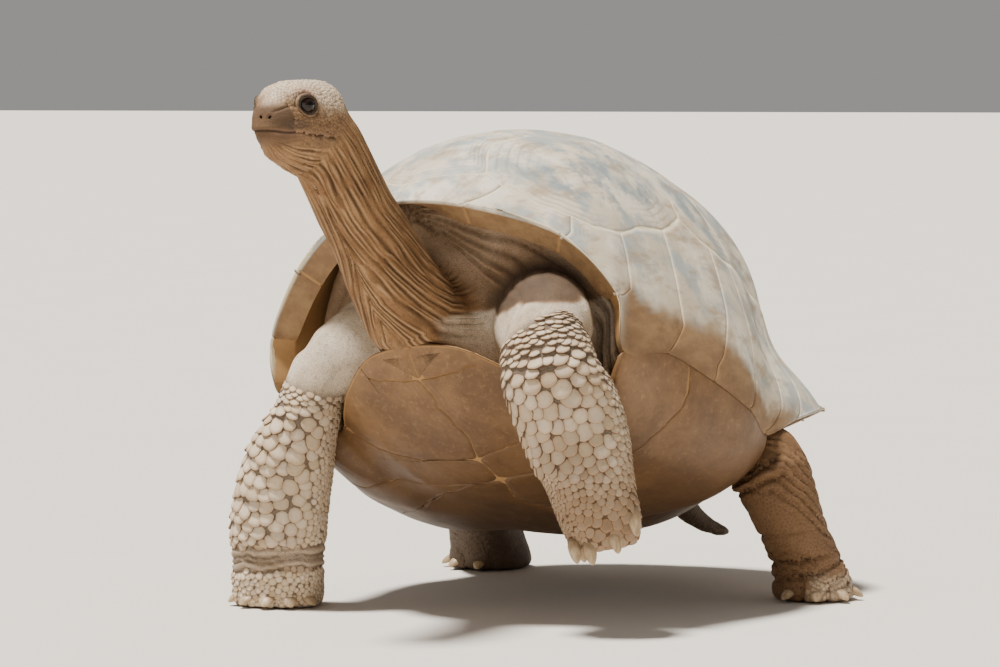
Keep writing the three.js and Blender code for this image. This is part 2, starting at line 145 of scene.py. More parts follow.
# Claws of the planted feet: the foot's middle and half sizes, its heading, each claw's angle and
# the size of its claws.
PLANTED = {
    "foreleg_right": ((-328, -301, 76, 68), 17, (-62, -31, 0, 31, 62), 1.0),
    "hindleg_left": ((357, 247, 70, 70), 52, (-61, -20, 20, 61), 1.08),
    "hindleg_right": ((-341, 337, 74, 79), -42, (-61, -20, 20, 61), 1.08),
}
# Claws of the lifted hand: root of each and its length.
LIFTED = (
    (283, -345, 138, 23),
    (292, -380, 142, 25),
    (313, -370, 142, 27),
    (347, -352, 160, 27),
    (366, -330, 190, 31),
)

LEGS = ("foreleg_right", "foreleg_left", "hindleg_left", "hindleg_right")
FLESH = ["trunk", "neck", "head", "tail"] + [f"{leg}_{part}" for leg in LEGS for part in ("upper", "lower")]


# ---- Small maths
def step(a, b, x):
    """Smoothly from 0 where x is a to 1 where x is b; a may be the larger."""
    t = np.clip((x - a) / (b - a), 0, 1)
    return t * t * (3 - 2 * t)


def hump(x, middle, width):
    """1 at the middle, fading to 0 on both sides."""
    return np.exp(-(((x - middle) / width) ** 2))


def spot(x, y, middle, width):
    """1 in the middle of an oval spot, fading to 0 outside it."""
    return np.exp(-(((x - middle[0]) / width[0]) ** 2) - ((y - middle[1]) / width[1]) ** 2)


def unit(v):
    return v / np.maximum(np.linalg.norm(v, axis=-1, keepdims=True), 1e-12)


def along(table, k):
    """Catmull-Rom curve through a table whose first column is the place; x mirrors at both ends."""
    k = np.asarray(k, float)
    i = np.clip(np.searchsorted(table[:, 0], k, side="right") - 1, 0, len(table) - 2)
    f = ((k - table[i, 0]) / (table[i + 1, 0] - table[i, 0]))[..., None]
    rows = table[:, 1:]
    rows = np.concatenate([rows[1:2] * [-1, 1, 1], rows, rows[-2:-1] * [-1, 1, 1]])
    p, q, r, s = rows[i], rows[i + 1], rows[i + 2], rows[i + 3]
    return q + 0.5 * f * (r - p + f * (2 * p - 5 * q + 4 * r - s + f * (3 * (q - r) + s - p)))


def lattice_noise(p, size, seed):
    """Smooth noise between -1 and 1 over points in mm; size is one cell of it."""
    q = np.asarray(p, float) / size
    cell = np.floor(q).astype(np.int64)
    f = q - cell
    f = f * f * (3 - 2 * f)
    total = np.zeros(q.shape[:-1])
    for corner in range(8):
        d = np.array([corner & 1, corner >> 1 & 1, corner >> 2 & 1])
        c = cell + d
        n = (c[..., 0] * 73856093) ^ (c[..., 1] * 19349663) ^ (c[..., 2] * 83492791) ^ (seed * 2654435)
        n = (n ^ (n >> 13)) * 1274126177
        value = ((n ^ (n >> 16)) & 0xFFFF) / 32767.5 - 1
        total += value * np.prod(np.where(d, f, 1 - f), axis=-1)
    return total


# ---- Materials: one function adds a node, one turns colours
def colour(code):
    """An sRGB hex value as linear RGBA."""
    parts = [int(code[i : i + 2], 16) / 255 for i in (1, 3, 5)]
    return [c / 12.92 if c <= 0.04045 else ((c + 0.055) / 1.055) ** 2.4 for c in parts] + [1.0]


# Recipes for nodes: kind, settings, the inputs in the order that they are given, and the output.
PLACE = ("ShaderNodeTexCoord", {}, (), "Object")
STRETCH = ("ShaderNodeMapping", {}, ("Vector", "Scale"), 0)
HEIGHT = ("ShaderNodeSeparateXYZ", {}, ("Vector",), "Z")
VALUE = ("ShaderNodeAttribute", {}, (), "Fac")
# Noise and the net are given 1000 / the width in mm of their largest grains or meshes.
NOISE = ("ShaderNodeTexNoise", {}, ("Vector", "Scale", "Detail", "Roughness"), 0)
NET = ("ShaderNodeTexVoronoi", {"feature": "DISTANCE_TO_EDGE"}, ("Vector", "Scale"), "Distance")
RAMP = (
    "ShaderNodeMapRange",
    {"interpolation_type": "SMOOTHSTEP"},
    ("Value", "To Min", "To Max", "From Min", "From Max"),
    0,
)
MIX = ("ShaderNodeMix", {"data_type": "RGBA"}, (0, 6, 7), 2)  # share, then two colours
TIMES = ("ShaderNodeMath", {"operation": "MULTIPLY"}, (0, 1), 0)
PLUS = ("ShaderNodeMath", {"operation": "ADD"}, (0, 1), 0)
SINE = ("ShaderNodeMath", {"operation": "SINE"}, (0,), 0)
POSITIVE = ("ShaderNodeMath", {"operation": "ABSOLUTE"}, (0,), 0)
BUMP = ("ShaderNodeBump", {}, ("Height", "Distance"), 0)


class Finish:
    """A material with its tree, its shader, the place on the piece and the marks that its mesh
    carries as a number at each vertex."""

    def __init__(self, name, roughness, specular, *marks):
        self.material = bpy.data.materials.new(name)
        self.material.use_nodes = True
        self.tree = self.material.node_tree
        self.shader = self.tree.nodes["Principled BSDF"]
        self.shader.inputs["Roughness"].default_value = roughness
        self.shader.inputs["Specular IOR Level"].default_value = specular
        self.place = self.add(PLACE)
        self.mark = {mark: self.add(VALUE, attribute_name=mark) for mark in marks}

    def add(self, recipe, *values, **settings):
        """Adds a node and gives its output; a value is a socket, a hex colour or a number."""
        kind, fixed, inputs, output = recipe
        n = self.tree.nodes.new(kind)
        for key, value in {**fixed, **settings}.items():
            setattr(n, key, value)
        for key, value in zip(inputs, values):
            if isinstance(value, bpy.types.NodeSocket):
                self.tree.links.new(value, n.inputs[key])
            else:
                n.inputs[key].default_value = colour(value) if isinstance(value, str) else value
        return n.outputs[output]

    def link(self, key, socket):
        """Links a socket to one of the shader's inputs."""
        self.tree.links.new(socket, self.shader.inputs[key])


def dusty_horn():
    """Keratin of the upper plates, sun-bleached and dusty: matt, cream-grey with blue-grey wear
    where the dust has rubbed off, thin darker growth lines and pale seams; warm brown under the
    drip line, where no dust lies."""
    f = Finish("keratin_dusty_carapace", 0.6, 0.28, "worn", "ring", "seam", "sheltered")
    cloud = f.add(NOISE, f.place, 1000 / 150, 5, 0.6)
    streak = f.add(NOISE, f.add(STRETCH, f.place, (1, 0.35, 1)), 1000 / 30, 5, 0.65)
    dust = f.add(MIX, f.add(RAMP, cloud, 0, 1, 0.35, 0.65), "#c4b59c", "#e0d5c1")
    cool = f.add(RAMP, f.add(NOISE, f.place, 1000 / 85, 5, 0.62), 0, 0.8, 0.44, 0.6)
    dust = f.add(MIX, cool, dust, "#98a09f")
    dust = f.add(MIX, f.add(RAMP, streak, 0, 0.75, 0.47, 0.68), dust, "#a18a6e")
    rubbed = f.add(RAMP, f.add(NOISE, f.place, 1000 / 42, 6, 0.75), 0.0, 0.9, 0.44, 0.62)
    dust = f.add(MIX, f.add(TIMES, f.mark["worn"], rubbed), dust, "#7f898b")
    dust = f.add(MIX, f.add(TIMES, f.mark["ring"], 0.55), dust, "#8b7a64")
    dust = f.add(MIX, f.add(TIMES, f.mark["seam"], 0.9), dust, "#e4d7ba")
    brown = f.add(MIX, f.add(RAMP, streak, 0, 1, 0.35, 0.7), "#7d6043", "#957753")
    stain = f.add(RAMP, f.add(NOISE, f.place, 1000 / 45, 6, 0.7), 0, 0.6, 0.5, 0.7)
    brown = f.add(MIX, stain, brown, "#664e35")
    brown = f.add(MIX, f.add(TIMES, f.mark["ring"], 0.5), brown, "#664a30")
    brown = f.add(MIX, f.add(TIMES, f.mark["seam"], 0.75), brown, "#bf9767")
    f.link("Base Color", f.add(MIX, f.mark["sheltered"], dust, brown))
    f.link("Roughness", f.add(RAMP, f.add(NOISE, f.place, 1000 / 12, 4, 0.6), 0.5, 0.72))
    grain = f.add(NOISE, f.place, 1000 / 7, 6, 0.7)
    grain = f.add(PLUS, grain, f.add(NOISE, f.place, 1000 / 2.2, 3, 0.6))
    f.link("Normal", f.add(BUMP, grain, 0.35 * MM))
    return f.material


def seam_horn():
    """Young keratin and dust in the seams, under the plates' edges: pale and matt."""
    f = Finish("keratin_seam", 0.75, 0.2, "sheltered")
    pale = f.add(MIX, f.add(NOISE, f.place, 1000 / 8, 4, 0.55), "#cdbd9c", "#e2d6ba")
    tan = f.add(MIX, f.add(NOISE, f.place, 1000 / 8, 4, 0.55), "#94714b", "#ad8759")
    f.link("Base Color", f.add(MIX, f.mark["sheltered"], pale, tan))
    f.link("Normal", f.add(BUMP, f.add(NOISE, f.place, 1000 / 2, 4, 0.55), 0.2 * MM))
    return f.material


def worn_horn():
    """Keratin of the plastron, polished by the ground: ochre to orange-brown, darker towards the ground
    with painted shade, smoother than the back, with fine scratches along the body and pale orange seams."""
    f = Finish("keratin_worn_plastron", 0.5, 0.35, "ring", "seam")
    cloud = f.add(NOISE, f.place, 1000 / 110, 6, 0.65)
    long = f.add(NOISE, f.add(STRETCH, f.place, (1, 0.22, 1)), 1000 / 22, 6, 0.7)
    c = f.add(MIX, f.add(RAMP, cloud, 0, 1, 0.35, 0.62), "#674a2e", "#83613e")
    c = f.add(MIX, f.add(RAMP, long, 0, 0.5, 0.5, 0.72), c, "#634427")
    c = f.add(MIX, f.add(RAMP, f.add(NOISE, f.place, 1000 / 9, 5, 0.7), 0, 0.35, 0.5, 0.8), c, "#c39c6b")
    c = f.add(MIX, f.add(TIMES, f.mark["ring"], 0.3), c, "#5f4127")
    c = f.add(MIX, f.add(TIMES, f.mark["seam"], 0.38), c, "#b98c57")
    # Painted shade: the plastron grows darker towards the ground, on its underside, which lies in shade.
    height = f.add(HEIGHT, f.place)
    c = f.add(MIX, f.add(RAMP, height, 0.66, 0, 0.13, 0.44), c, "#3d2917")
    f.link("Base Color", c)
    f.link("Roughness", f.add(RAMP, long, 0.42, 0.62))
    f.link("Normal", f.add(BUMP, f.add(PLUS, f.add(NOISE, f.place, 1000 / 5, 6, 0.7), long), 0.25 * MM))
    return f.material


# ---- Making pieces
def put(name, data):
    """A new object in the scene."""
    o = bpy.data.objects.new(name, data)
    bpy.context.scene.collection.objects.link(o)
    return o


def make(name, verts, faces, material, replaces=(), values=None):
    """A finished piece: vertices in metres, faces as arrays of triangles or of four corners."""
    mesh = bpy.data.meshes.new(name)
    mesh.vertices.add(len(verts))
    mesh.vertices.foreach_set("co", np.asarray(verts, np.float32).ravel())
    sizes = np.concatenate([np.full(len(f), f.shape[1]) for f in faces])
    mesh.loops.add(int(sizes.sum()))
    mesh.loops.foreach_set("vertex_index", np.concatenate([f.ravel() for f in faces]).astype(np.int32))
    mesh.polygons.add(len(sizes))
    mesh.polygons.foreach_set("loop_start", np.concatenate([[0], np.cumsum(sizes)[:-1]]).astype(np.int32))
    mesh.update(calc_edges=True)
    mesh.validate()
    mesh.shade_smooth()
    for key, data in (values or {}).items():
        attribute = mesh.attributes.new(key, "FLOAT", "POINT")
        attribute.data.foreach_set("value", np.asarray(data, np.float32))
    mesh.materials.append(material)
    piece = put(name, mesh)
    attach(piece, "root")
    if replaces:
        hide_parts(*replaces)
    return piece


def grid_faces(rows, columns, closed=False, first=0):
    """Faces of a grid of vertices; closed joins its last column to its first."""
    wide = columns if closed else columns - 1
    r, c = np.meshgrid(np.arange(rows - 1) * columns, np.arange(wide), indexing="ij")
    d = (c + 1) % columns
    return np.stack([r + c, r + d, r + columns + d, r + columns + c], -1).reshape(-1, 4) + first


def tube_faces(rows, around, first=0):
    """Faces of rings of vertices that are followed by one pole for each end: squares, then caps."""
    quads = grid_faces(rows, around, closed=True, first=first)
    i = first + np.arange(around)
    j = first + (np.arange(around) + 1) % around
    pole = np.full(around, first + rows * around)
    last = (rows - 1) * around
    return quads, np.concatenate([np.stack([j, i, pole], -1), np.stack([i + last, j + last, pole + 1], -1)])


def closed(rows):
    """Rings of points and a pole for the first and the last one, from the shell's own frame."""
    return to_model(placed(np.concatenate([*rows, [rows[0].mean(0)], [rows[-1].mean(0)]])))


def to_model(p):
    """From the body's space in mm to the model's in metres."""
    return (np.asarray(p, float) + SHIFT) * MM


def placed(p):
    """From the shell's own frame to the body's space: roll, pitch, then lift."""
    r, t = math.radians(BODY_ROLL), math.radians(BODY_PITCH)
    x = p[..., 0] * math.cos(r) - p[..., 2] * math.sin(r)
    z = p[..., 0] * math.sin(r) + p[..., 2] * math.cos(r)
    y = p[..., 1] * math.cos(t) + z * math.sin(t)
    return np.stack([x, y, -p[..., 1] * math.sin(t) + z * math.cos(t) + BODY_LIFT], -1)


# ---- Shell
def half(s):
    """Round the shell s goes 0 to 24: the place on one half, 0 to 12, and that half's side."""
    s = np.asarray(s, float) % 24
    return np.where(s <= 12, s, 24 - s), np.where(s <= 12, 1.0, -1.0)


def ring_of(table, s):
    """Points of a table of the left half, at places all round the shell."""
    k, side = half(s)
    p = along(table, k)
    p[..., 0] *= side
    return p


def on_bridge(s):
    """1 along the bridge, 0 off it."""
    k, _ = half(s)
    start, end = BRIDGE
    return step(start - BRIDGE_EASE, start, k) * (1 - step(end, end + BRIDGE_EASE, k))


def inward(p, d):
    """Moved level towards the shell's middle by d."""
    u = unit(np.stack([p[..., 0], (p[..., 1] - DOME_APEX_Y) * 0.8, 0 * p[..., 0]], -1))
    return p - u * np.asarray(d)[..., None]


def dome(s, tau, edge=None, top=DOME_TOP, flare=REAR_FLARE):
    """The dome over an edge: tau 0 at the edge, 90 at the apex."""
    k, _ = half(s)
    t = np.radians(tau)
    c, h = np.cos(t), np.sin(t)
    base, rim = ring_of(SWEEP, s), ring_of(RIM, s)
    edge = rim if edge is None else edge
    p = base + (edge - rim) + (rim - base) * ((1 - h) ** 3)[..., None]
    pull = flare * step(6.8, 8.4, k) * (1 - 0.6 * step(9.6, 12, k))
    pull = pull * np.exp(-(((tau - 29) / np.where(tau < 29, 10, 16)) ** 2))
    f = np.maximum(c, 0) ** DOME_SPREAD - pull
    z = p[..., 2] + (top - p[..., 2]) * h**DOME_RISE
    return np.stack([p[..., 0] * f, DOME_APEX_Y + (p[..., 1] - DOME_APEX_Y) * f, z], -1)


# Round the rim: tau below 0 against how far the face has gone inwards and down.
RIM_TURN = np.array([0, 1, 2, 3.5, 5, 7])
RIM_IN = np.array([0.6, 0.3, 0.4, 1.4, 3.2, 6.5])
RIM_DOWN = np.array([0, -1.6, -3.2, -5.2, -6.6, -7.2])
LIP_TURN = 30


def carapace_face(s, tau):
    """Outer face of the carapace: the dome, and for tau below 0 the rim and its underside."""
    up = inward(dome(s, np.maximum(tau, 0)), 0.6 * (1 - step(0, 12, tau)))
    t = -np.minimum(tau, 0)
    lip = step(RIM_TURN[-1], LIP_TURN, t)
    straight = on_bridge(s)
    go_in = np.interp(t, RIM_TURN, RIM_IN) + (RIM_LIP - RIM_IN[-1]) * lip
    go_in = go_in * (1 - straight) + straight * np.interp(t, [0, 5, 7, 30], [0.6, 0.6, 4, 20])
    k, _ = half(s)
    arch = step(0.1, 1.0, k) * (1 - step(2.6, 3.3, k))
    down = np.interp(t, RIM_TURN, RIM_DOWN) + (13 - 30 * arch) * lip * (1 - straight)
    under = inward(ring_of(RIM, s), go_in)
    under[..., 2] += down
    return np.where((tau < 0)[..., None], under, up)


EVEN = (-1.2, -0.6, 0, 0.6, 1.2)  # offsets over which the plastron's edge is evened out


def belly_edge(s):
    """Edge of the plastron: its own table off the bridge, the rim along it."""
    k, _ = half(s)
    bridge = (k >= BRIDGE[0]) & (k <= BRIDGE[1])
    return np.where(bridge[..., None], ring_of(RIM, s), ring_of(BELLY_EDGE, s))


def belly(s, r, wall=0.0):
    """The plastron: r 1 at its edge, 0 at the middle of the belly."""
    k, _ = half(s)
    even = sum(belly_edge(s + d) for d in EVEN) / len(EVEN)
    edge = even + (belly_edge(s) - even) * (r**5)[..., None]
    side = step(2.6, 4, k) * (1 - step(6.6, 8, k))
    gentle = r**3.2
    rise = gentle + (1 - np.sqrt(np.maximum(1 - r**4.4, 0)) - gentle) * side
    floor = wall - BELLY_DEPTH
    p = np.stack([edge[..., 0] * r, edge[..., 1] * r, floor + (edge[..., 2] - floor) * rise], -1)
    return inward(p, wall * r**6)


def belly_face(s, psi):
    """Outer face of the plastron: psi 90 at the edge, 0 at the middle; past 90 it turns up."""
    r = np.sin(np.radians(np.minimum(psi, 90))) ** (1 / 2.2)
    p = belly(s, r)
    past = np.maximum(psi - 90, 0)
    p = inward(p, 0.9 + 0.9 * past)
    # Along the bridge the plates grow on to the marginal plates with only a seam between them.
    drop = 8.4 - 3.4 * on_bridge(s)
    p[..., 2] -= drop * r**4 * np.where(past > 0, 1 - 0.08 * past, 1)
    return p


# Plates are drawn on a flat map: the dome's apex is its middle, and the rim a circle of 90.
def on_map(s, tau):
    angle = np.asarray(s, float) * (math.pi / 12)
    reach = 90 - np.asarray(tau, float)
    return np.stack([reach * np.sin(angle), -reach * np.cos(angle)], -1)


def from_map(m):
    reach = np.hypot(m[..., 0], m[..., 1])
    return np.arctan2(m[..., 0], -m[..., 1]) * (12 / math.pi) % 24, 90 - reach


def map_face(face, m):
    s, tau = from_map(m)
    return face(s, tau)


def map_normal(face, m, outwards):
    """Outward direction of a face over the flat map; outwards is 1 or -1 for its winding."""
    d = 0.25
    a = map_face(face, m + [d, 0]) - map_face(face, m - [d, 0])
    b = map_face(face, m + [0, d]) - map_face(face, m - [0, d])
    return unit(np.cross(a, b)) * outwards


# The drip line: places and how far up the dome it runs there.
DRIP_PLACE = (3.1, 3.46, 4.0, 4.32, 5.22, 6.52, 7.1)
DRIP_TAU = (4, 20, 16, 17, 18, 15, 9)


def drip(s, tau):
    """1 on the flanks under the line where rain and dust stop, over the bridge."""
    k, _ = half(s)
    line = np.interp(k, DRIP_PLACE, DRIP_TAU)
    flank = step(3.1, 3.5, k) * (1 - step(7.3, 8.4, k))
    here = np.stack([s * 12.0, tau * 0.3, 0 * tau], -1)
    ragged = 3.4 * lattice_noise(here, 5.5, 15) + 1.6 * lattice_noise(here, 1.6, 16)
    return np.maximum(flank * (1 - step(-3, 3, tau - line - ragged)), 1 - step(-7, -3, tau))


# The plates' seams on the left half, as (place, tau). V are plates along the spine and P those of
# the flank, both counted from the front.
SPINE_TOP = [(1.10, 28), (0.92, 40), (0.87, 46.5), (1.28, 56.3)]
SEAM_V12 = [(1.28, 56.3), (0.66, 57.7), (0, 60.1)]
SEAM_V23 = [(4.32, 74.3), (2.58, 81.7), (0, 85.1)]
SEAM_V34 = [(9.6, 69.3), (10.52, 74.7), (12, 75.5)]
SEAM_V45 = [(11.02, 50.7), (11.48, 53.9), (12, 53.9)]
V1_FRONT = [(0, 18.8), (0.10, 19), (0.32, 22), (0.60, 24), (1.10, 28)]
V2_SIDE = [(1.28, 56.3), (2.2, 62.4), (3.18, 66.1), (3.75, 70.6), (4.32, 74.3)]
V3_SIDE = [(4.32, 74.3), (5.8, 72.2), (7.22, 69.5), (8.5, 69.2), (9.6, 69.3)]
V4_SIDE = [(9.6, 69.3), (9.9, 63.5), (10.06, 58.1), (10.6, 55.2), (11.02, 50.7)]
V5_SIDE = [(11.02, 50.7), (10.86, 37), (10.76, 23.8)]
V5_BACK = [(10.76, 23.8), (11.4, 22.4), (12, 21.8)]
P12 = [(5.04, 49), (5.08, 54), (4.62, 56), (4.40, 58), (3.76, 64), (3.18, 66.1)]
P23 = [(7.2, 45.4), (7.18, 51.3), (7.14, 60.3), (7.22, 69.5)]
P34 = [(8.92, 38), (9.44, 50.5), (10.06, 58.1)]
P1_LOW = [(1.10, 28), (1.34, 24), (1.78, 22), (2.28, 24), (2.68, 26)]
P1_LOW += [(3.24, 31), (3.60, 36), (4.32, 41), (4.62, 44), (5.04, 49)]
P2_LOW = [(5.04, 49), (5.58, 46), (6.58, 45), (7.2, 45.4)]
P3_LOW = [(7.2, 45.4), (7.9, 42.5), (8.92, 38)]
P4_LOW = [(8.92, 38), (9.5, 32.5), (10.3, 27), (10.76, 23.8)]
MARGIN_TOP = V1_FRONT[:-1] + P1_LOW + P2_LOW[1:] + P3_LOW[1:] + P4_LOW[1:] + V5_BACK[1:]
# Seams between the marginal plates, from the rim up: (tau, place) pairs.
MARGIN_SEAMS = [
    [(0, 0.09), (19, 0.10)],
    [(0, 1.0), (6, 1.02), (20, 1.28), (24, 1.34)],
    [(0, 2.0), (4, 2.08), (16, 2.28), (24, 2.30)],
    [(0, 3.0), (9, 3.12), (18, 3.46), (26, 3.36), (31, 3.24)],
    [(0, 4.02), (9, 4.24), (16, 4.42), (34, 4.38), (41, 4.32)],
    [(0, 5.0), (10, 5.12), (16, 5.34), (30, 5.74), (46, 5.9)],
    [(0, 6.0), (16, 6.4), (30, 6.7), (45, 6.8)],
    [(0, 6.94), (10, 7.5), (25, 7.8), (42.5, 7.9)],
    [(0, 8.0), (20, 8.45), (39, 8.7)],
    [(0, 9.0), (18, 9.35), (33, 9.5)],
    [(0, 10.0), (27, 10.3)],
    [(0, 11.0), (23, 11.05)],
]
RINGS = 8  # growth rings that the wear has left on a large plate


def flank_outline(seams):
    """A closed outline from seams that each start where the last one ends."""
    return [point for seam in seams for point in seam[:-1]]


def mirrored(points):
    return [(24 - k, t) for k, t in points]


def both_sides(points):
    """Mirrors an open line that starts and ends on the middle line into a closed outline."""
    return points + mirrored([(k, t) for k, t in points[::-1] if 0 < k < 12])


def resample(points, count):
    """A closed outline on the map at even steps, its corners kept nearly sharp."""
    p = on_map(*np.array(points, float).T)
    p = np.concatenate([p, p[:1]])
    length = np.concatenate([[0], np.cumsum(np.linalg.norm(np.diff(p, axis=0), axis=1))])
    at = np.linspace(0, length[-1], count, endpoint=False)
    out = np.stack([np.interp(at, length, p[:, i]) for i in (0, 1)], -1)
    ahead, behind = np.roll(out, -1, 0), np.roll(out, 1, 0)
    out = out * 0.5 + (ahead + behind) * 0.25
    wobble = np.concatenate([out, 0 * out[:, :1]], -1)
    drift = np.stack([lattice_noise(wobble, 2.6, 5), lattice_noise(wobble, 2.6, 6)], -1)
    return out + 0.22 * drift


class Plates:
    """Collects plates into one piece."""

    def __init__(self):
        self.verts = []
        self.faces = []
        self.values = {"seam": [], "ring": [], "worn": [], "sheltered": []}
        self.count = 0

    def take(self, points, faces, values):
        """Adds a plate: its points, its arrays of squares or triangles and its vertices' values."""
        self.verts.append(points)
        self.faces += [f + self.count for f in faces]
        self.count += len(points)
        for key, data in values.items():
            self.values[key].append(data)

    def piece(self, name, material, slot):
        values = {key: np.concatenate(data) for key, data in self.values.items()}
        verts = to_model(placed(np.concatenate(self.verts)))
        groups = {}
        for f in self.faces:
            groups.setdefault(f.shape[1], []).append(f)
        faces = [np.concatenate(group) for group in groups.values()]
        make(name, verts, faces, material, values=values)


def plate_relief(edge_mm, t, point, strength):
    """How far a plate's face stands under the shell's outline, and its markings."""
    fade = step(0.42, 0.8, t) * (0.12 + 0.88 * step(-0.1, 0.5, lattice_noise(point, 120, 21)))
    phase = (t * RINGS / 0.72 + 0.22 * lattice_noise(point, 70, 8)) % 1
    groove = hump(np.minimum(phase, 1 - phase), 0, 0.13)
    saw = phase * (1 - step(0.86, 1, phase))
    seam = hump(edge_mm, 0, 2.1) * (0.5 + 0.5 * step(0.6, 0.9, strength))
    sink = 0.35 + 1.5 * np.exp(-edge_mm / 17) * strength**2 + 1.5 * hump(edge_mm, 0, 1.9)
    sink = sink + fade * strength * (0.45 * groove - 0.25 * saw + 0.15)
    sink = sink + 0.35 * (1 + lattice_noise(point, 34, 3)) * strength
    return sink, seam, groove * fade


SKIRT = 5.5  # how far a plate's edge goes down into its seam
MARGIN_SKIRT = 4.0


def shield(
    plates, face, outline, middle, outwards, around=112, out=44, strength=1.0, worn=0.0, shelter=None
):
    """A plate as rings that shrink from its outline to its oldest part, as it grew."""
    ring = resample(outline, around)
    core = on_map(*middle)
    t = 1 - np.linspace(0, 1, out) ** 1.15
    t = np.maximum(t, 0.012)
    m = core + (ring - core) * t[:, None, None]
    point = map_face(face, m)
    edge = np.linalg.norm(np.diff(point, axis=0), axis=-1)
    edge = np.concatenate([np.zeros((1, around)), np.cumsum(edge, axis=0)])
    sink, seam, groove = plate_relief(edge, np.broadcast_to(t[:, None], edge.shape), point, strength)
    normal = map_normal(face, m, outwards)
    body = point - normal * sink[..., None]
    skirt = point[:1] - normal[:1] * SKIRT
    s, tau = from_map(m)
    sheltered = shelter(s, tau) if shelter else np.zeros(s.shape)
    everything = np.concatenate([*skirt, *body, body[-1].mean(0)[None]])
    quads = grid_faces(out + 1, around, closed=True)
    i = np.arange(around)
    cap = np.stack([i, (i + 1) % around, np.full(around, around)], -1) + out * around
    if outwards < 0:
        quads, cap = quads[:, ::-1], cap[:, ::-1]
    wear = worn * (1 - step(0.55, 0.9, t))[:, None] * np.ones(edge.shape)
    layers = {"seam": seam, "ring": groove, "worn": wear, "sheltered": sheltered}
    values = {}
    for key, data in layers.items():
        values[key] = np.concatenate([data[:1].ravel(), data.ravel(), data[-1:].mean(1)])
    plates.take(everything, [quads, cap], values)


def margin_plate(plates, left, right, across, side):
    """A marginal plate between two seams, from the dome over the rim to its underside."""
    up, over, under = 22, 8, 10
    top_k, top_tau = np.array(MARGIN_TOP).T
    u = np.linspace(0, 1, across)
    ends = [max(t for t, _ in seam) for seam in (left, right)]
    k_top = left[-1][1] + (right[-1][1] - left[-1][1]) * u
    tau_top = np.interp(k_top, top_k, top_tau)
    v = np.concatenate([
        1 - np.linspace(0, 1, up, endpoint=False) ** 1.1,
        np.zeros(1),
        -np.linspace(0, RIM_TURN[-1], over)[1:] / 100,
        -np.linspace(RIM_TURN[-1], LIP_TURN - 1, under)[1:] / 100,
    ])
    tau = np.where(v[:, None] > 0, v[:, None] * tau_top, v[:, None] * 100)
    sides = []
    for seam, end in zip((left, right), ends):
        t, k = np.array(seam, float).T
        sides.append(np.interp(np.maximum(v, 0) * end, t, k))
    k = sides[0][:, None] + (sides[1] - sides[0])[:, None] * u
    s = k if side > 0 else (24 - k) % 24
    point = carapace_face(s, tau)
    m = on_map(s, tau)
    normal = map_normal(carapace_face, m, 1)
    down = np.cumsum(np.linalg.norm(np.diff(point, axis=0, prepend=point[:1]), axis=-1), axis=0)
    sideways = np.linalg.norm(np.diff(point, axis=1, prepend=point[:, :1]), axis=-1)
    run = np.cumsum(sideways, axis=1)
    edge = np.minimum(np.minimum(run, run[:, -1:] - run), down)
    edge = np.minimum(edge, 400)
    reach = np.maximum(edge.max(), 1)
    t = 1 - np.clip(edge / reach, 0, 1) * 0.85
    sink, seam_line, groove = plate_relief(edge, t, point, 0.6)
    body = point - normal * sink[..., None]
    rows, columns = edge.shape
    border = np.pad(body, ((1, 0), (1, 1), (0, 0)), mode="edge")
    push = np.pad(normal, ((1, 0), (1, 1), (0, 0)), mode="edge")
    hidden = np.ones(border.shape[:2], bool)
    hidden[1:, 1:-1] = False
    border = np.where(hidden[..., None], border - push * MARGIN_SKIRT, border)
    quads = grid_faces(rows + 1, columns + 2)
    if side > 0:
        quads = quads[:, ::-1]
    layers = {
        "seam": seam_line,
        "ring": groove * 0.7 * step(-2, 4, tau),
        "worn": 0 * edge,
        "sheltered": drip(s, tau),
    }
    values = {key: np.pad(data, ((1, 0), (1, 1)), mode="edge").ravel() for key, data in layers.items()}
    plates.take(border.reshape(-1, 3), [quads], values)


# Plates along the spine: left half of the outline, oldest spot, how worn, points round and rings.
SPINE = (
    (V1_FRONT[:-1] + SPINE_TOP + SEAM_V12[1:], (0, 44), 0.3, 112, 44),
    (SEAM_V12[::-1][:-1] + V2_SIDE[:-1] + SEAM_V23, (0, 71), 0.6, 128, 48),
    (SEAM_V23[::-1][:-1] + V3_SIDE[:-1] + SEAM_V34, (12, 86), 0.6, 128, 52),
    (SEAM_V34[::-1][:-1] + V4_SIDE[:-1] + SEAM_V45, (12, 66), 0.5, 112, 44),
    (SEAM_V45[::-1][:-1] + V5_SIDE[:-1] + V5_BACK, (12, 42), 0.3, 112, 44),
)
# Plates of the flank: the seams round each, its oldest spot and how worn it is.
FLANK = (
    ((SPINE_TOP, V2_SIDE[:3], P12[::-1], P1_LOW[::-1]), (2.9, 50), 0.95),
    ((P12, V2_SIDE[2:], V3_SIDE[:3], P23[::-1], P2_LOW[::-1]), (5.9, 60), 0.8),
    ((P23, V3_SIDE[2:], V4_SIDE[:3], P34[::-1], P3_LOW[::-1]), (8.5, 56), 0.6),
    ((P34, V4_SIDE[2:], V5_SIDE, P4_LOW[::-1]), (10.1, 42), 0.4),
)


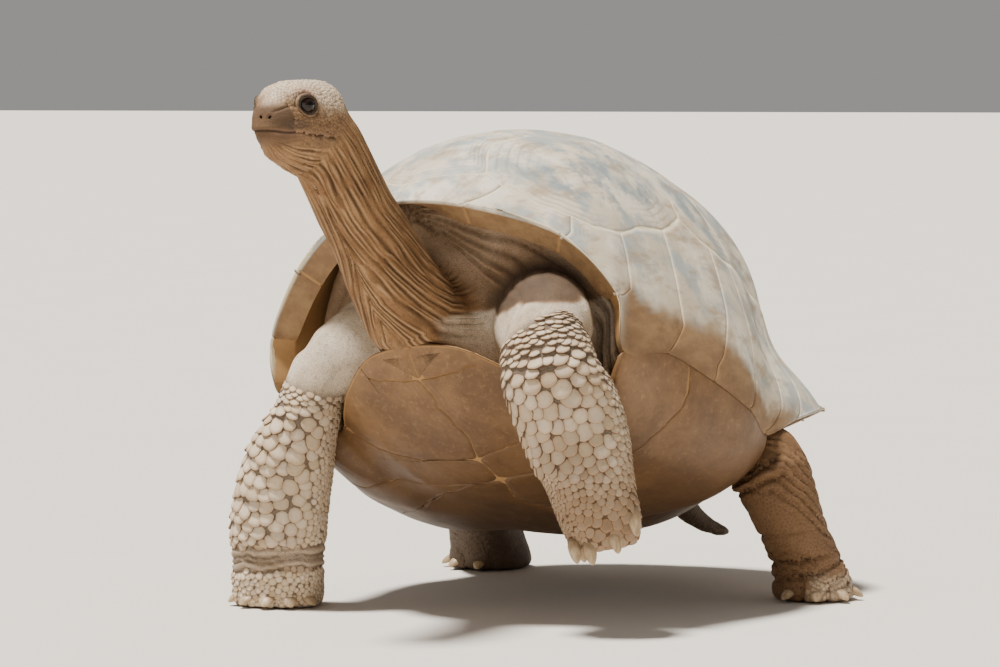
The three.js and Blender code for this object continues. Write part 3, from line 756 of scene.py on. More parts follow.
def build_carapace():
    back, flanks, edge = Plates(), Plates(), Plates()
    for line, middle, worn, around, rings in SPINE:
        shield(back, carapace_face, both_sides(line), middle, 1, around, rings, worn=worn, shelter=drip)
    for seams, (k, tau), worn in FLANK:
        outline = flank_outline(seams)
        for line, middle in ((outline, (k, tau)), (mirrored(outline)[::-1], (24 - k, tau))):
            shield(flanks, carapace_face, line, middle, 1, 144, 56, worn=worn, shelter=drip)
    for left, right in zip(MARGIN_SEAMS[:-1], MARGIN_SEAMS[1:]):
        for side in (1, -1):
            margin_plate(edge, left, right, 34, side)
    front_plate = [[(0, -0.09), (19, -0.10)], MARGIN_SEAMS[0]]
    margin_plate(edge, *front_plate, 10, 1)
    tail_plate = [MARGIN_SEAMS[-1], [(t, 24 - k) for t, k in MARGIN_SEAMS[-1]]]
    margin_plate(edge, *tail_plate, 48, 1)
    horn = dusty_horn()
    flanks.piece("costal_plates", horn, "shell")
    back.piece("vertebral_plates", horn, "shell")
    edge.piece("marginal_plates", horn, "shell")
    build_shell_wall()


UNDER_PLATES = 2.9  # how deep the walls lie under the outline of the plates
UNDER_BELLY = 2.6


def build_shell_wall():
    """The shell under the plates: its outside shows only in the seams, its inside at the openings."""
    around = 288
    s = np.arange(around) * 24 / around
    rows = []
    shelter = []
    for tau in 90 - np.linspace(1.5, 90, 64):
        at = np.full(around, tau)
        n = map_normal(carapace_face, on_map(s, at), 1)
        rows.append(carapace_face(s, at) - n * UNDER_PLATES)
        shelter.append(drip(s, at))
    for t in (2, 5, 8, 14, 20, 26, LIP_TURN):
        tau = np.full(around, -float(t))
        p = carapace_face(s, tau)
        p = inward(p, 2.4 * (t < 8)) + [0, 0, 2.2]
        rows.append(p)
        shelter.append(np.ones(around))
    lip = inward(ring_of(RIM, s), RIM_LIP)
    lip[:, 2] += 8
    for tau in np.linspace(2, 86, 24):
        rows.append(dome(s, np.full(around, tau), lip, DOME_TOP - SHELL_WALL, REAR_FLARE * 0.6))
        shelter.append(np.ones(around))
    faces = [f[:, ::-1] for f in tube_faces(len(rows), around)]
    values = {"sheltered": np.concatenate([*shelter, [0, 1]])}
    make("carapace_wall", closed(rows), faces, seam_horn(), ["carapace"], values)


build_carapace()


# ---- Plastron
# Seams of the left half on the belly, as (x, y) in the shell's frame, front to back.
GULAR = [(118, -388), (60, -390), (0, -391)]
HUMERAL = [(218, -268), (120, -262), (30, -258)]
PECTORAL = [(344, -139), (300, -170), (180, -190), (34, -196)]
ABDOMINAL = [(318, 138), (250, 118), (120, 112), (0, 118)]
FEMORAL = [(176, 300), (90, 262), (0, 256)]
MIDDLE = [(0, -391), (18, -348), (38, -300), (30, -258), (34, -196)]
MIDDLE += [(14, -90), (0, 0), (0, 118), (0, 256), (0, 376)]
MIDDLE_REACH = 45  # how far the middle seam wanders; the plates' seams are mirrored beyond it


def belly_table():
    """Places and psi all over the plastron, and the points there."""
    s = np.linspace(0, 24, 481)[:-1]
    psi = np.concatenate([np.linspace(2, 80, 40), np.linspace(81, 90, 19)])
    a, b = np.meshgrid(s, psi, indexing="ij")
    return a.ravel(), b.ravel(), belly_face(a.ravel(), b.ravel())


BELLY_TABLE = belly_table()


def belly_place(x, y):
    """The place and tau, on the flat map, of a point of the belly seen from below."""
    s, psi, p = BELLY_TABLE
    i = ((p[:, 0] - x) ** 2 + (p[:, 1] - y) ** 2).argmin()
    return s[i], 90 - psi[i]


def belly_map_face(s, tau):
    """The plastron's face over the same map as the carapace's."""
    return belly_face(s, 90 - tau)


def belly_line(points):
    return [belly_place(*p) for p in points]


def edge_run(start, end):
    """Along the plastron's edge from one place to another."""
    count = max(2, int(abs(end - start) / 0.14))
    return [(k, -4.0) for k in np.linspace(start, end, count)]


def fine_line(points):
    """A seam on the belly with points between, so that it keeps its course on the map."""
    p = np.array(points, float)
    t = np.linspace(0, len(p) - 1, (len(p) - 1) * 6 + 1)
    return [(np.interp(v, range(len(p)), p[:, 0]), np.interp(v, range(len(p)), p[:, 1])) for v in t]


def belly_seam(seam, side):
    """A seam of the left half, or of the right one, from the plastron's edge to the middle."""
    return belly_line(fine_line([(side * x if x > MIDDLE_REACH else x, y) for x, y in seam]))


def build_plastron():
    plates = Plates()
    seams = [None, GULAR, HUMERAL, PECTORAL, ABDOMINAL, FEMORAL, None]
    ends = [0, 1.33, 2.78, 4.45, 7.08, 9.15, 12]
    middles = [[(0, -391), (0, -420)]]
    for start, end in ((0, 4), (3, 5), (4, 8), (7, 9), (8, 10)):
        middles.append(fine_line(MIDDLE[start:end]))
    for i, middle in enumerate(middles):
        for side in (1, -1):
            outline = belly_seam(seams[i], side)[:-1][::-1] if seams[i] else []
            run = edge_run(ends[i], ends[i + 1])
            outline += run if side > 0 else mirrored(run)
            if seams[i + 1]:
                outline += belly_seam(seams[i + 1], side)[1:-1]
            outline += belly_line(middle[::-1])
            core = from_map(np.array([on_map(*o) for o in outline]).mean(0))
            shield(plates, belly_map_face, outline, core, -1, 150, 30, strength=0.6)
    plates.piece("plastron_plates", worn_horn(), "belly_shell")
    build_plastron_wall()


def build_plastron_wall():
    """The plastron under its plates: its outside shows only in the seams."""
    around = 240
    s = np.arange(around) * 24 / around
    rows = []
    for psi in np.concatenate([np.linspace(2, 84, 30), np.linspace(86, 90, 4)]):
        at = np.full(around, psi)
        p = belly_face(s, at)
        n = map_normal(belly_map_face, on_map(s, 90 - at), -1)
        rows.append(p - n * UNDER_BELLY)
    for r in np.linspace(0.985, 0.08, 14):
        p = belly(s, np.full(around, r), PLASTRON_WALL)
        p[:, 2] -= 8.2 * r**4
        rows.append(p)
    verts = closed(rows)
    faces = tube_faces(len(rows), around)
    values = {"sheltered": np.ones(len(verts))}
    make("plastron_wall", verts, faces, seam_horn(), ["plastron"], values)


build_plastron()


# ---- Flesh: one skin over every soft part
OVERLAP = 0.0008  # neighbouring solids swell this many metres, so that they meet
VOXEL = 0.0079  # width in metres of the skin's first squares
COAT = 2.2  # mm that the skin lies under the outline where scales cover it
BARE = 0.6  # and where it is bare

# Lines down the middle of the limbs, from the elbow or knee to the sole.
LIMBS = {
    "foreleg_right": [
        (-226, -300, 434),
        (-240, -309, 376),
        (-268, -318, 288),
        (-305, -318, 188),
        (-323, -309, 80),
        (-328, -301, 0),
    ],
    "foreleg_left": [
        (216, -358, 498),
        (236, -374, 442),
        (263, -366, 360),
        (287, -348, 276),
        (307, -342, 204),
        (321, -333, 134),
    ],
    "hindleg_left": [
        (254, 178, 288),
        (290, 184, 238),
        (331, 189, 164),
        (346, 215, 96),
        (356, 243, 34),
        (357, 248, 0),
    ],
    "hindleg_right": [
        (-256, 196, 240),
        (-280, 212, 188),
        (-300, 238, 148),
        (-331, 302, 72),
        (-341, 336, 12),
        (-341, 338, 0),
    ],
    "tail": [
        (-12, 320, 212),
        (-12, 372, 178),
        (-8, 414, 138),
        (0, 448, 104),
        (28, 508, 70),
        (38, 526, 66),
    ],
}


def gather_flesh():
    """The flesh nodes as one loose mesh, a search tree and the node that each face came from."""
    everything = bmesh.new()
    owners = []
    for index, name in enumerate(FLESH):
        part = bmesh.new()
        part.from_mesh(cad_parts[name].data)
        bmesh.ops.remove_doubles(part, verts=part.verts, dist=1e-5)
        part.normal_update()
        for v in part.verts:
            v.co += v.normal * OVERLAP
        loose = bpy.data.meshes.new("loose")
        part.to_mesh(loose)
        owners += [index] * len(part.faces)
        part.free()
        everything.from_mesh(loose)
        bpy.data.meshes.remove(loose)
    tree = BVHTree.FromBMesh(everything)
    mesh = bpy.data.meshes.new("flesh")
    everything.to_mesh(mesh)
    everything.free()
    return mesh, tree, np.array(owners)


def read_mesh(mesh):
    """Points and faces of a mesh whose faces all have as many corners."""
    points = np.zeros(len(mesh.vertices) * 3, np.float32)
    mesh.vertices.foreach_get("co", points)
    faces = np.zeros(len(mesh.loops), np.int32)
    mesh.loops.foreach_get("vertex_index", faces)
    return points.reshape(-1, 3).astype(float), faces.reshape(-1, len(mesh.loops) // len(mesh.polygons))


def finished(mesh, name, set_up):
    """The mesh after one modifier, which set_up adjusts."""
    o = put("flesh", mesh)
    set_up(o, o.modifiers.new("step", name))
    graph = bpy.context.evaluated_depsgraph_get()
    made = bpy.data.meshes.new_from_object(o.evaluated_get(graph))
    bpy.data.objects.remove(o)
    return made


def set_remesh(_, modifier):
    modifier.mode = "VOXEL"
    modifier.voxel_size = VOXEL


def edges_of(faces):
    """Each edge of a mesh once, as a pair of vertices."""
    n = faces.shape[1]
    pairs = np.concatenate([faces[:, [i, (i + 1) % n]] for i in range(n)])
    pairs.sort(axis=1)
    return np.unique(pairs, axis=0)


class Web:
    """A mesh's vertices and edges, for evening things out along the surface."""

    def __init__(self, count, faces):
        self.faces = faces
        self.edges = edges_of(faces)
        self.count = count
        self.degree = np.bincount(self.edges.ravel(), minlength=count)

    def mean(self, values):
        """Each vertex's mean over its neighbours."""
        a, b = self.edges.T
        flat = values.reshape(self.count, -1)
        columns = [
            np.bincount(a, flat[b, i], self.count) + np.bincount(b, flat[a, i], self.count)
            for i in range(flat.shape[1])
        ]
        return (np.stack(columns, -1) / np.maximum(self.degree, 1)[:, None]).reshape(values.shape)

    def even(self, values, times, share=0.5):
        """Moves each value towards its neighbours' mean; share is one number or one a vertex."""
        share = np.asarray(share, float)
        if share.ndim:
            share = share.reshape(-1, *[1] * (values.ndim - 1))
        for _ in range(times):
            values = values + (self.mean(values) - values) * share
        return values

    def normals(self, points):
        f = self.faces
        n = np.cross(points[f[:, 2]] - points[f[:, 0]], points[f[:, -1]] - points[f[:, 1]])
        columns = [
            sum(np.bincount(f[:, c], n[:, i], self.count) for c in range(f.shape[1])) for i in range(3)
        ]
        return unit(np.stack(columns, -1))


def keep_largest(points, faces):
    """Only the biggest connected body; voxels can leave loose bits inside."""
    edges = edges_of(faces)
    label = np.arange(len(points))
    while True:
        low = np.minimum(label[edges[:, 0]], label[edges[:, 1]])
        new = label.copy()
        np.minimum.at(new, edges[:, 0], low)
        np.minimum.at(new, edges[:, 1], low)
        new = new[new]
        if (new == label).all():
            break
        label = new
    names, sizes = np.unique(label, return_counts=True)
    keep = label == names[sizes.argmax()]
    index = np.cumsum(keep) - 1
    return points[keep], index[faces[keep[faces[:, 0]]]]


def head_axes():
    a, b = math.radians(HEAD_TURN), math.radians(HEAD_LIFT)
    left = np.array([math.cos(a), math.sin(a), 0])
    ahead = np.array([math.sin(a) * math.cos(b), -math.cos(a) * math.cos(b), math.sin(b)])
    return np.stack([ahead, left, np.cross(ahead, left)])


HEAD_AXES = head_axes()


def in_head(p):
    """Forward, left and up of the eyes' middle, in mm."""
    return (p - HEAD_AT) @ HEAD_AXES.T


def from_head(q):
    return HEAD_AT + np.asarray(q, float) @ HEAD_AXES


def on_line(line, p):
    """Distance along a line of points, the way off it, and its direction there."""
    line = np.array(line, float)
    reach = np.full(len(p), 1e9)
    s, off, way = np.zeros(len(p)), np.zeros_like(p), np.zeros_like(p)
    run = 0.0
    for a, b in zip(line[:-1], line[1:]):
        d = b - a
        length = np.linalg.norm(d)
        t = np.clip((p - a) @ d / length**2, 0, 1)
        q = p - a - t[:, None] * d
        far = np.linalg.norm(q, axis=1)
        near = far < reach
        reach = np.where(near, far, reach)
        s = np.where(near, run + t * length, s)
        off = np.where(near[:, None], q, off)
        way = np.where(near[:, None], d / length, way)
        run += length
    return s, off, way


def angle_round(off, way):
    """The turn of points round a line that runs this way: 0 on the animal's left."""
    w = unit(np.array([1.0, 0, 0]) - way * way[:, :1])
    return np.arctan2((off * np.cross(w, way)).sum(1), (off * w).sum(1))


def to_shell(p):
    """From the body's space to the shell's own frame."""
    r, t = math.radians(BODY_ROLL), math.radians(BODY_PITCH)
    x, y, z = p[:, 0], p[:, 1], p[:, 2] - BODY_LIFT
    z1 = y * math.sin(t) + z * math.cos(t)
    y1 = y * math.cos(t) - z * math.sin(t)
    return np.stack([x * math.cos(r) + z1 * math.sin(r), y1, -x * math.sin(r) + z1 * math.cos(r)], -1)


# The neck's line runs on under the jaw, so that the throat's folds carry on to the chin.
NECK_LINE = np.concatenate([NECK, [[-29, -655, 782], [-27, -705, 776]]])
NECK_END = 556.0


def neck_place(p):
    """Along the neck from the body, the angle round it (0 left, 90 in front) and the radius."""
    s, off, way = on_line(NECK_LINE, p)
    return s, np.degrees(angle_round(off, way)), np.linalg.norm(off, axis=1)


def folds(phase, depth):
    """Rounded ridges with narrow valleys, one a unit of phase; depth at the valleys."""
    return -depth * (1 - np.abs(np.sin(math.pi * phase)) ** 0.75)


def neck_folds(p, weight):
    """Long loose folds down the neck, which drift forwards to the middle of the breast."""
    s, angle, _ = neck_place(p)
    side = np.where(np.abs(angle) > 90, -1.0, 1.0)
    a = np.where(angle > 90, 180 - angle, np.where(angle < -90, -180 - angle, angle))
    a = a + 50 * (np.maximum(400 - s, 0) / 220) ** 1.5
    q = np.stack([a, s * 0.22, side * 40], -1)
    drift = 0.55 * lattice_noise(q, 26, 11) + 0.2 * lattice_noise(q, 9, 12)
    strong = 0.62 + 0.38 * lattice_noise(np.stack([a, s * 0.5, side * 60], -1), 30, 13)
    fade = step(NECK_END + 190, NECK_END + 20, s) * (0.55 + 0.45 * step(-70, 0, a)) * step(60, 170, s)
    fade = fade * (1 - 0.6 * hump(s, NECK_END - 2, 30))
    deep = folds(a / 15.0 + drift, 7.5 * strong)
    patchy = step(-0.6, 0.4, lattice_noise(np.stack([a, s * 0.35, side * 70], -1), 9, 17))
    return weight * fade * deep, a / 7.5 + 2.0 * drift, weight * fade * patchy


# The lowest fold of the breast's left side, from the arm up to the neck, as turns in degrees and
# reaches in mm round a middle between the two (across and up).
FAN_MIDDLE = (60.0, 430.0)
FAN_TURN = (-30, 9, 29, 49, 61, 80, 90, 99, 105, 112, 121)
FAN_REACH = (120, 132, 128, 106, 106, 115, 125, 143, 166, 194, 235)


def fan_place(p):
    """Turn round the fan's middle, and 0 at the shell's lip to 1 at the lowest fold."""
    d = p[:, [0, 2]] - FAN_MIDDLE
    turn = np.degrees(np.arctan2(d[:, 1], d[:, 0]))
    reach = np.linalg.norm(d, axis=1)
    k = np.linspace(0, 5, 121)
    lip = placed(inward(ring_of(RIM, k), np.full(len(k), RIM_LIP * 0.9)))[:, [0, 2]] - FAN_MIDDLE
    lip_turn = np.degrees(np.arctan2(lip[:, 1], lip[:, 0]))
    order = np.argsort(lip_turn)
    outer = np.interp(turn, lip_turn[order], np.linalg.norm(lip, axis=1)[order])
    inner = np.interp(turn, FAN_TURN, FAN_REACH)
    return turn, (outer - reach) / np.maximum(outer - inner, 14)


def breast_folds(p, weight):
    """Folds of the loose skin inside the front opening: on the left they fan out from the neck to
    the arm, on the right they follow the shell's arch."""
    q = to_shell(p)
    place = np.linspace(-3.6, 3.6, 145)
    lip = inward(ring_of(RIM, place), np.full(145, RIM_LIP * 0.9))
    best = np.full(len(p), 1e9)
    k = np.zeros(len(p))
    for at, point in zip(place, lip):
        d = np.linalg.norm((q - point) * [1, 0.35, 1], axis=1)
        near = d < best
        best = np.where(near, d, best)
        k = np.where(near, at, k)
    spread = 15 + 5 * np.abs(k)
    drift = 0.4 * lattice_noise(q * [1, 0.5, 1], 60, 31)
    turn, part = fan_place(p)
    fan = step(136, 120, turn) * step(-60, -20, turn)
    phase = best / spread + drift + 0.25 * np.sign(k)
    phase = phase * (1 - fan) + fan * (5 * part + 0.35 * lattice_noise(q * [1, 0.5, 1], 45, 34))
    calm = (0.62 + 0.5 * lattice_noise(q * [1, 0.6, 1], 70, 32)) * (1 - 0.85 * step(85, 150, best))
    calm = calm * (1 - fan) + fan * (0.9 + 0.3 * lattice_noise(q, 50, 35)) * (1 - step(1.06, 1.3, part))
    patchy = step(-0.5, 0.4, lattice_noise(q * [1, 0.5, 1], 24, 33))
    sharp = -8.5 * calm * (1 - np.abs(np.sin(math.pi * phase)) ** 0.5)
    return weight * sharp, phase * 2 + 0.5, weight * calm * patchy * 0.6


def ring_folds(s, start, end, pitch, depth, wobble):
    """Folds across a limb between two heights."""
    inside = step(start - 8, start + 4, s) * (1 - step(end - 4, end + 8, s))
    return inside * folds(s / pitch + wobble, depth)


# Folds of the left hind leg: where each starts and ends across the leg and its height there, in
# mm, then how wide and deep it is; a ridge has a depth below 0.
HIND_FOLDS = (
    (290, 180, 365, 222, 7, -7),
    (285, 166, 360, 206, 5, 6),
    (300, 190, 360, 236, 6, 5),
    (345, 108, 400, 118, 4, 4),
    (350, 60, 425, 74, 4.5, 7),
    (322, 24, 435, 52, 4.5, 7),
)


def wrist_folds(p):
    """Heights of the folds round the right wrist, in mm, at each place."""
    drift = 6 * lattice_noise(p, 38, 43) + 2.5 * lattice_noise(p, 12, 44)
    return np.array([[63.0], [76.0], [85.0], [99.0]]) + drift + 0.06 * (p[:, 0] + 300)


def leg_folds(p, owner):
    out = np.zeros(len(p))
    for line in wrist_folds(p):
        out -= 5.0 * owner["foreleg_right"] * hump(p[:, 2], line, 2.8)
    wobble = 0.8 * lattice_noise(p, 40, 41)
    height = p[:, 2]
    out += owner["hindleg_left"] * ring_folds(height + 0.25 * p[:, 0], 126, 180, 15, 6.0, wobble)
    out += owner["hindleg_right"] * ring_folds(height, 34, 84, 9.5, 2.6, wobble)
    out += owner["foreleg_left"] * ring_folds(height, 212, 236, 8.0, 1.6, wobble)
    across = p @ [0.839, 0.545, 0.0]
    for start, low, end, high, wide, deep in HIND_FOLDS:
        line = low + (high - low) * (across - start) / (end - start) + 3 * lattice_noise(p, 28, 42)
        inside = step(start - 26, start - 2, across) * step(end + 26, end + 2, across)
        out -= owner["hindleg_left"] * inside * deep * hump(height, line, wide)
    knee = height + 0.75 * (p[:, 1] - 190)
    out += owner["hindleg_left"] * ring_folds(knee, 120, 262, 19.0, 6.0, wobble)
    return out


def toes(p):
    """Grooves between the toes and a swelling behind each claw."""
    out = np.zeros(len(p))
    for (x, y, a, b), facing, angles, _ in PLANTED.values():
        turn = np.degrees(np.arctan2(p[:, 0] - x, -(p[:, 1] - y)))
        turn = (turn - facing + 180) % 360 - 180
        outer = np.hypot((p[:, 0] - x) / a, (p[:, 1] - y) / b) > 0.55
        near = outer & (np.hypot(p[:, 0] - x, p[:, 1] - y) < 110)
        low = 1 - step(22, 46, p[:, 2])
        for here, then in zip(angles[:-1], angles[1:]):
            out -= 5.0 * near * low * hump(turn, (here + then) / 2, 4.2)
        for edge in (angles[0] - 17, angles[-1] + 17):
            out -= 3.0 * near * low * hump(turn, edge, 4.5)
    spots = np.array([claw[:3] for claw in LIFTED], float)
    for here, then in zip(spots[:-1], spots[1:]):
        middle = (here + then) / 2
        across = unit(then - here)
        d = p - middle
        flat = np.abs(d @ across)
        rest = np.linalg.norm(d - (d @ across)[:, None] * across, axis=1)
        out -= 3.2 * hump(flat, 0, 4.5) * (1 - step(14, 34, rest))
    return out


# The line of the mouth on the head, forward and up.
MOUTH = np.array([[-90, -53], [-66, -50], [-27, -49], [17, -46], [53, -46.5], [70, -45]])
MUZZLE_TURN = 0.09  # mm that the muzzle goes aside for each mm forward
NOSTRIL_OUT, NOSTRIL_UP = 7, -25.5
LID_REACH = (20.0, 16.5)  # half sizes of the lids, forwards and up
LID_GAP = (13.6, 11.7)  # and of the opening between them
RIGHT_LIDS = 0.84  # how far the right eye is open, as a share of the left one


def mouth_line(f, wave=0.8):
    """Height of the mouth's line, which wavers a little."""
    return np.interp(f, MOUTH[:, 0], MOUTH[:, 1]) + wave * np.sin(f / 7)


def lid_distance(f, u):
    """1 on the outline of the lids, less inside it."""
    return np.hypot((f - EYE_FORWARD) / LID_REACH[0], (u - EYE_UP) / LID_REACH[1])


def head_relief(q):
    """How far the head's skin stands out, in mm, for points given in the head's frame."""
    f, l, u = q.T
    twist = l - MUZZLE_TURN * f
    side = step(8, 22, np.abs(l))
    out = np.zeros(len(q))
    # Jaws: the upper beak laps over the lower one, with a groove back to the cheek.
    line = mouth_line(f)
    mouth = step(-70, -60, f)
    out -= 3.4 * mouth * hump(u, line, 1.6)
    out += 1.1 * mouth * step(-40, 20, f) * hump(u, line + 5, 4.0)
    out -= 1.4 * mouth * step(-20, 30, f) * hump(u, line - 5, 4.5)
    out -= 2.6 * hump(f, -69, 4) * hump(u, -56, 9) * side
    # Brow over each eye, the dip before it, and the groove that runs forward to the nostril.
    out += 3.6 * hump(u, 17 - 0.012 * (f - 2) ** 2, 5.5) * hump(f, 0, 24) * side
    out -= 2.2 * hump(f, 29, 8) * hump(u, -2, 8) * side
    groove = np.interp(f, [18, 31, 45, 57], [-5, -7, -13, -19])
    out -= 1.9 * step(16, 22, f) * (1 - step(54, 58, f)) * hump(u, groove, 1.8) * side
    # Cheek, muscle of the jaw and the swelling behind the eye, with the ear under it.
    out += 3.2 * spot(f, u, (-58, -6), (22, 22)) * side
    out += 2.4 * spot(f, u, (-42, -76), (26, 20)) * side
    ear = np.hypot((f + 46) / 8, (u + 34) / 9)
    out -= 1.8 * hump(ear, 1, 0.3) * side
    out -= 2.4 * spot(f, u, (-26, -30), (3.2, 2.6)) * side
    # Crow's feet: short crossing creases behind the eye and over the cheek.
    web = np.stack([f * 0.8 + 0.5 * u, u - 0.3 * f, side * 30], -1)
    wrinkled = side * step(-12, -24, f) * step(36, 8, u) + side * hump(f, 24, 12) * hump(u, -18, 14)
    crossing = np.abs(lattice_noise(web, 8.5, 53)) * 1.6 + np.abs(lattice_noise(web, 5.0, 54))
    out -= 2.8 * np.clip(wrinkled, 0, 1) * np.clip(0.42 - crossing, 0, 1) / 0.42
    # Folds round the lids, and under the mouth along the jaw.
    lids = lid_distance(f, u)
    out -= 1.3 * hump(lids, 1.1, 0.09) * side
    below = step(2, -10, u)
    out -= 0.8 * hump(lids, 1.42, 0.08) * side * below
    out -= 0.5 * hump(lids, 1.75, 0.08) * side * below
    # Loose skin hangs a little under the chin.
    out += 7.0 * hump(f, 22, 26) * step(-62, -86, u)
    for i, (start, drop) in enumerate(((-58, 0.007), (-65, 0.006), (-73, 0.005))):
        curve = start - drop * (f - 12) ** 2 + 1.5 * np.sin(f / 6 + i)
        out -= (1.1 - 0.35 * i) * hump(u, curve, 1.6) * step(-30, -4, f) * (1 - step(30, 46, f)) * side
    # Muzzle: swollen round the nostrils, flat between them.
    out += 0.8 * spot(np.abs(twist), u, (NOSTRIL_OUT, -25), (6, 8)) * step(44, 54, f)
    rough = 0.35 * lattice_noise(q, 6, 51) + 0.25 * lattice_noise(q, 3.2, 52)
    return out + rough * (0.5 + 0.5 * step(40, 0, f))


def sink_for_eyes(q):
    """Points of the head, those behind the lids and the nostrils moved in towards the skull."""
    f, l, u = q.T
    lids = lid_distance(f, u)
    depth = 7.5 * (1 - step(0.62, 0.95, lids)) * step(12, 24, np.abs(l))
    moved = q.copy()
    moved[:, 1] -= np.sign(l) * depth
    twist = l - MUZZLE_TURN * f
    for way in (1, -1):
        d = np.hypot(twist - way * NOSTRIL_OUT, u - NOSTRIL_UP)
        moved[:, 0] -= 5.0 * (1 - step(2.6, 4.4, d)) * step(46, 52, f)
    return moved


def inside_shell(p):
    """1 for points, in the shell's frame, that no opening of the shell shows."""
    s = np.linspace(0, 24, 289)
    heights = []
    for edge in (ring_of(RIM, s), belly_edge(s)):
        angle = np.unwrap(np.arctan2(edge[:, 0], -(edge[:, 1] - DOME_APEX_Y)))
        mine = np.arctan2(p[:, 0], -(p[:, 1] - DOME_APEX_Y)) % (2 * math.pi)
        heights.append(np.interp(mine, angle, edge[:, 2]))
    deep = (p[:, 1] > -240) & (p[:, 1] < 300)
    return (deep | (p[:, 2] > heights[0] + 45) | (p[:, 2] < heights[1] - 30)).astype(float)


def build_skin():
    """The body's skin as points in the body's space (mm), its faces and its regions."""
    loose, tree, owners = gather_flesh()
    made = finished(loose, "REMESH", set_remesh)
    points, faces = keep_largest(*read_mesh(made))
    owner = owners[np.array([tree.find_nearest(Vector(p))[2] for p in points])]
    web = Web(len(points), faces)
    names = [name.removesuffix("_lower") for name in FLESH]
    region = dict(zip(names, web.even(np.eye(len(names))[owner], 10).T))
    p = points / MM - SHIFT
    local = to_shell(p)
    hidden = web.even((region["trunk"] > 0.97) * inside_shell(local), 4) > 0.98
    # Facets of the solids melt away; where parts meet, the skin runs over in wide sweeps.
    meet = region["neck"] + region["head"]
    joint = 4 * meet * (1 - meet) * (1 - step(-500, -560, local[:, 1]) * step(200, 260, local[:, 2]))
    arms = region["foreleg_right_upper"] + region["foreleg_left_upper"]
    legs = sum(region[leg] for leg in LEGS)
    joint = np.maximum(joint, 4 * arms * (1 - arms))
    joint = np.maximum(joint, 4 * legs * (1 - legs))
    joint = web.even(np.clip(joint, 0, 1), 6)
    head = region["head"]
    before = p.copy()
    p = web.even(p, 16, 0.5 * (1 - 0.65 * head))
    p = web.even(p, 60, 0.5 * np.clip(joint * 1.6, 0, 1) * (1 - head))
    n = web.normals(p)
    lost = ((before - p) * n).sum(1)
    lost = web.even(np.clip(lost, -2, 6), 14) * (1 - joint)
    p = p + n * (lost - 0.8)[:, None]
    return p, faces, region, hidden


HIDDEN_LOSS = 0.93  # share of the faces inside the shell that the skin does without


def split_skin(p, faces, region, hidden):
    """Finer squares where the skin shows folds, coarse ones inside the shell; all triangles."""
    mesh = bpy.data.meshes.new("skin")
    mesh.from_pydata(p, [], faces.tolist())
    for key, share in region.items():
        attribute = mesh.attributes.new(key, "FLOAT", "POINT")
        attribute.data.foreach_set("value", share.astype(np.float32))

    def set_decimate(o, modifier):
        group = o.vertex_groups.new(name="hidden")
        for weight in (0, 1):
            group.add(np.flatnonzero(hidden == weight).tolist(), float(weight), "REPLACE")
        modifier.vertex_group = "hidden"
        modifier.ratio = 1 - HIDDEN_LOSS * hidden.mean()

    made = finished(mesh, "DECIMATE", set_decimate)
    bm = bmesh.new()
    bm.from_mesh(made)
    layers = {key: bm.verts.layers.float[key] for key in region}

    def refine(wanted):
        chosen = {e for f in bm.faces if wanted(f) for e in f.edges}
        bmesh.ops.subdivide_edges(bm, edges=list(chosen), cuts=1, use_grid_fill=True)

    def weight(f, *keys):
        return sum(v[layers[k]] for v in f.verts for k in keys) / len(f.verts)

    def shown_front(f):
        c = f.calc_center_median()
        q = to_shell(np.array([c[:]]))[0]
        return q[1] < -245 and len(f.verts) == 4 and not inside_shell(q[None])[0]

    def folded_leg(f):
        height = f.calc_center_median().z
        wrist = weight(f, "foreleg_right") > 0.5 and 50 < height < 116
        return wrist or (weight(f, "hindleg_left") > 0.5 and height < 240)

    soft = ("neck", "head", "foreleg_left_upper", "foreleg_right_upper")
    refine(lambda f: weight(f, *soft) > 0.4 or (weight(f, "trunk") > 0.3 and shown_front(f)))
    refine(folded_leg)
    refine(lambda f: weight(f, "head") > 0.5)
    bmesh.ops.triangulate(bm, faces=bm.faces)
    bm.to_mesh(made)
    bm.free()
    p, faces = read_mesh(made)
    out = {}
    for key in region:
        data = np.zeros(len(p), np.float32)
        made.attributes[key].data.foreach_get("value", data)
        out[key] = data.astype(float)
    return p, faces, out


def sculpt(p, faces, region):
    """Folds, toes and the head's features; also what each vertex tells the material."""
    web = Web(len(p), faces)
    fine = region["head"] + region["neck"] + region["trunk"]
    p = web.even(p, 3, 0.5 * np.clip(fine, 0, 1))
    n = web.normals(p)
    head, neck = region["head"], region["neck"]
    q = in_head(p)
    throat = head * step(-58, -70, q[:, 2]) * step(62, 34, q[:, 0])
    arms = region["foreleg_left_upper"] + region["foreleg_right_upper"]
    local = to_shell(p)
    front = step(-150, -230, local[:, 1])
    loose = np.clip(region["trunk"] + arms * 0.2, 0, 1) * front * (1 - neck) * (1 - head)
    move, cord, corded = neck_folds(p, np.clip(neck + throat * 0.9, 0, 1))
    more, breast_cord, breast_corded = breast_folds(p, loose)
    cord = np.where(corded > breast_corded, cord, breast_cord)
    corded = np.abs(corded - breast_corded)
    move += more
    move += leg_folds(p, region)
    move += toes(p)
    move += head * head_relief(q)
    depth = BARE + (COAT - BARE) * step(0.3, 0.9, sum(region[k] for k in LIMBS))
    p = p + n * (move - depth)[:, None]
    q = in_head(p)
    p = p + head[:, None] * ((sink_for_eyes(q) - q) @ HEAD_AXES)
    # Painted shade: the deeper a fold, the darker its skin.
    crease = np.clip(-move / (4.5 - 2.2 * head), 0, 1)
    return p, web, {"crease": web.even(crease, 1), "cord": cord, "corded": corded}


WRINKLE_NET = 3.4  # mm across one mesh of the net of wrinkles


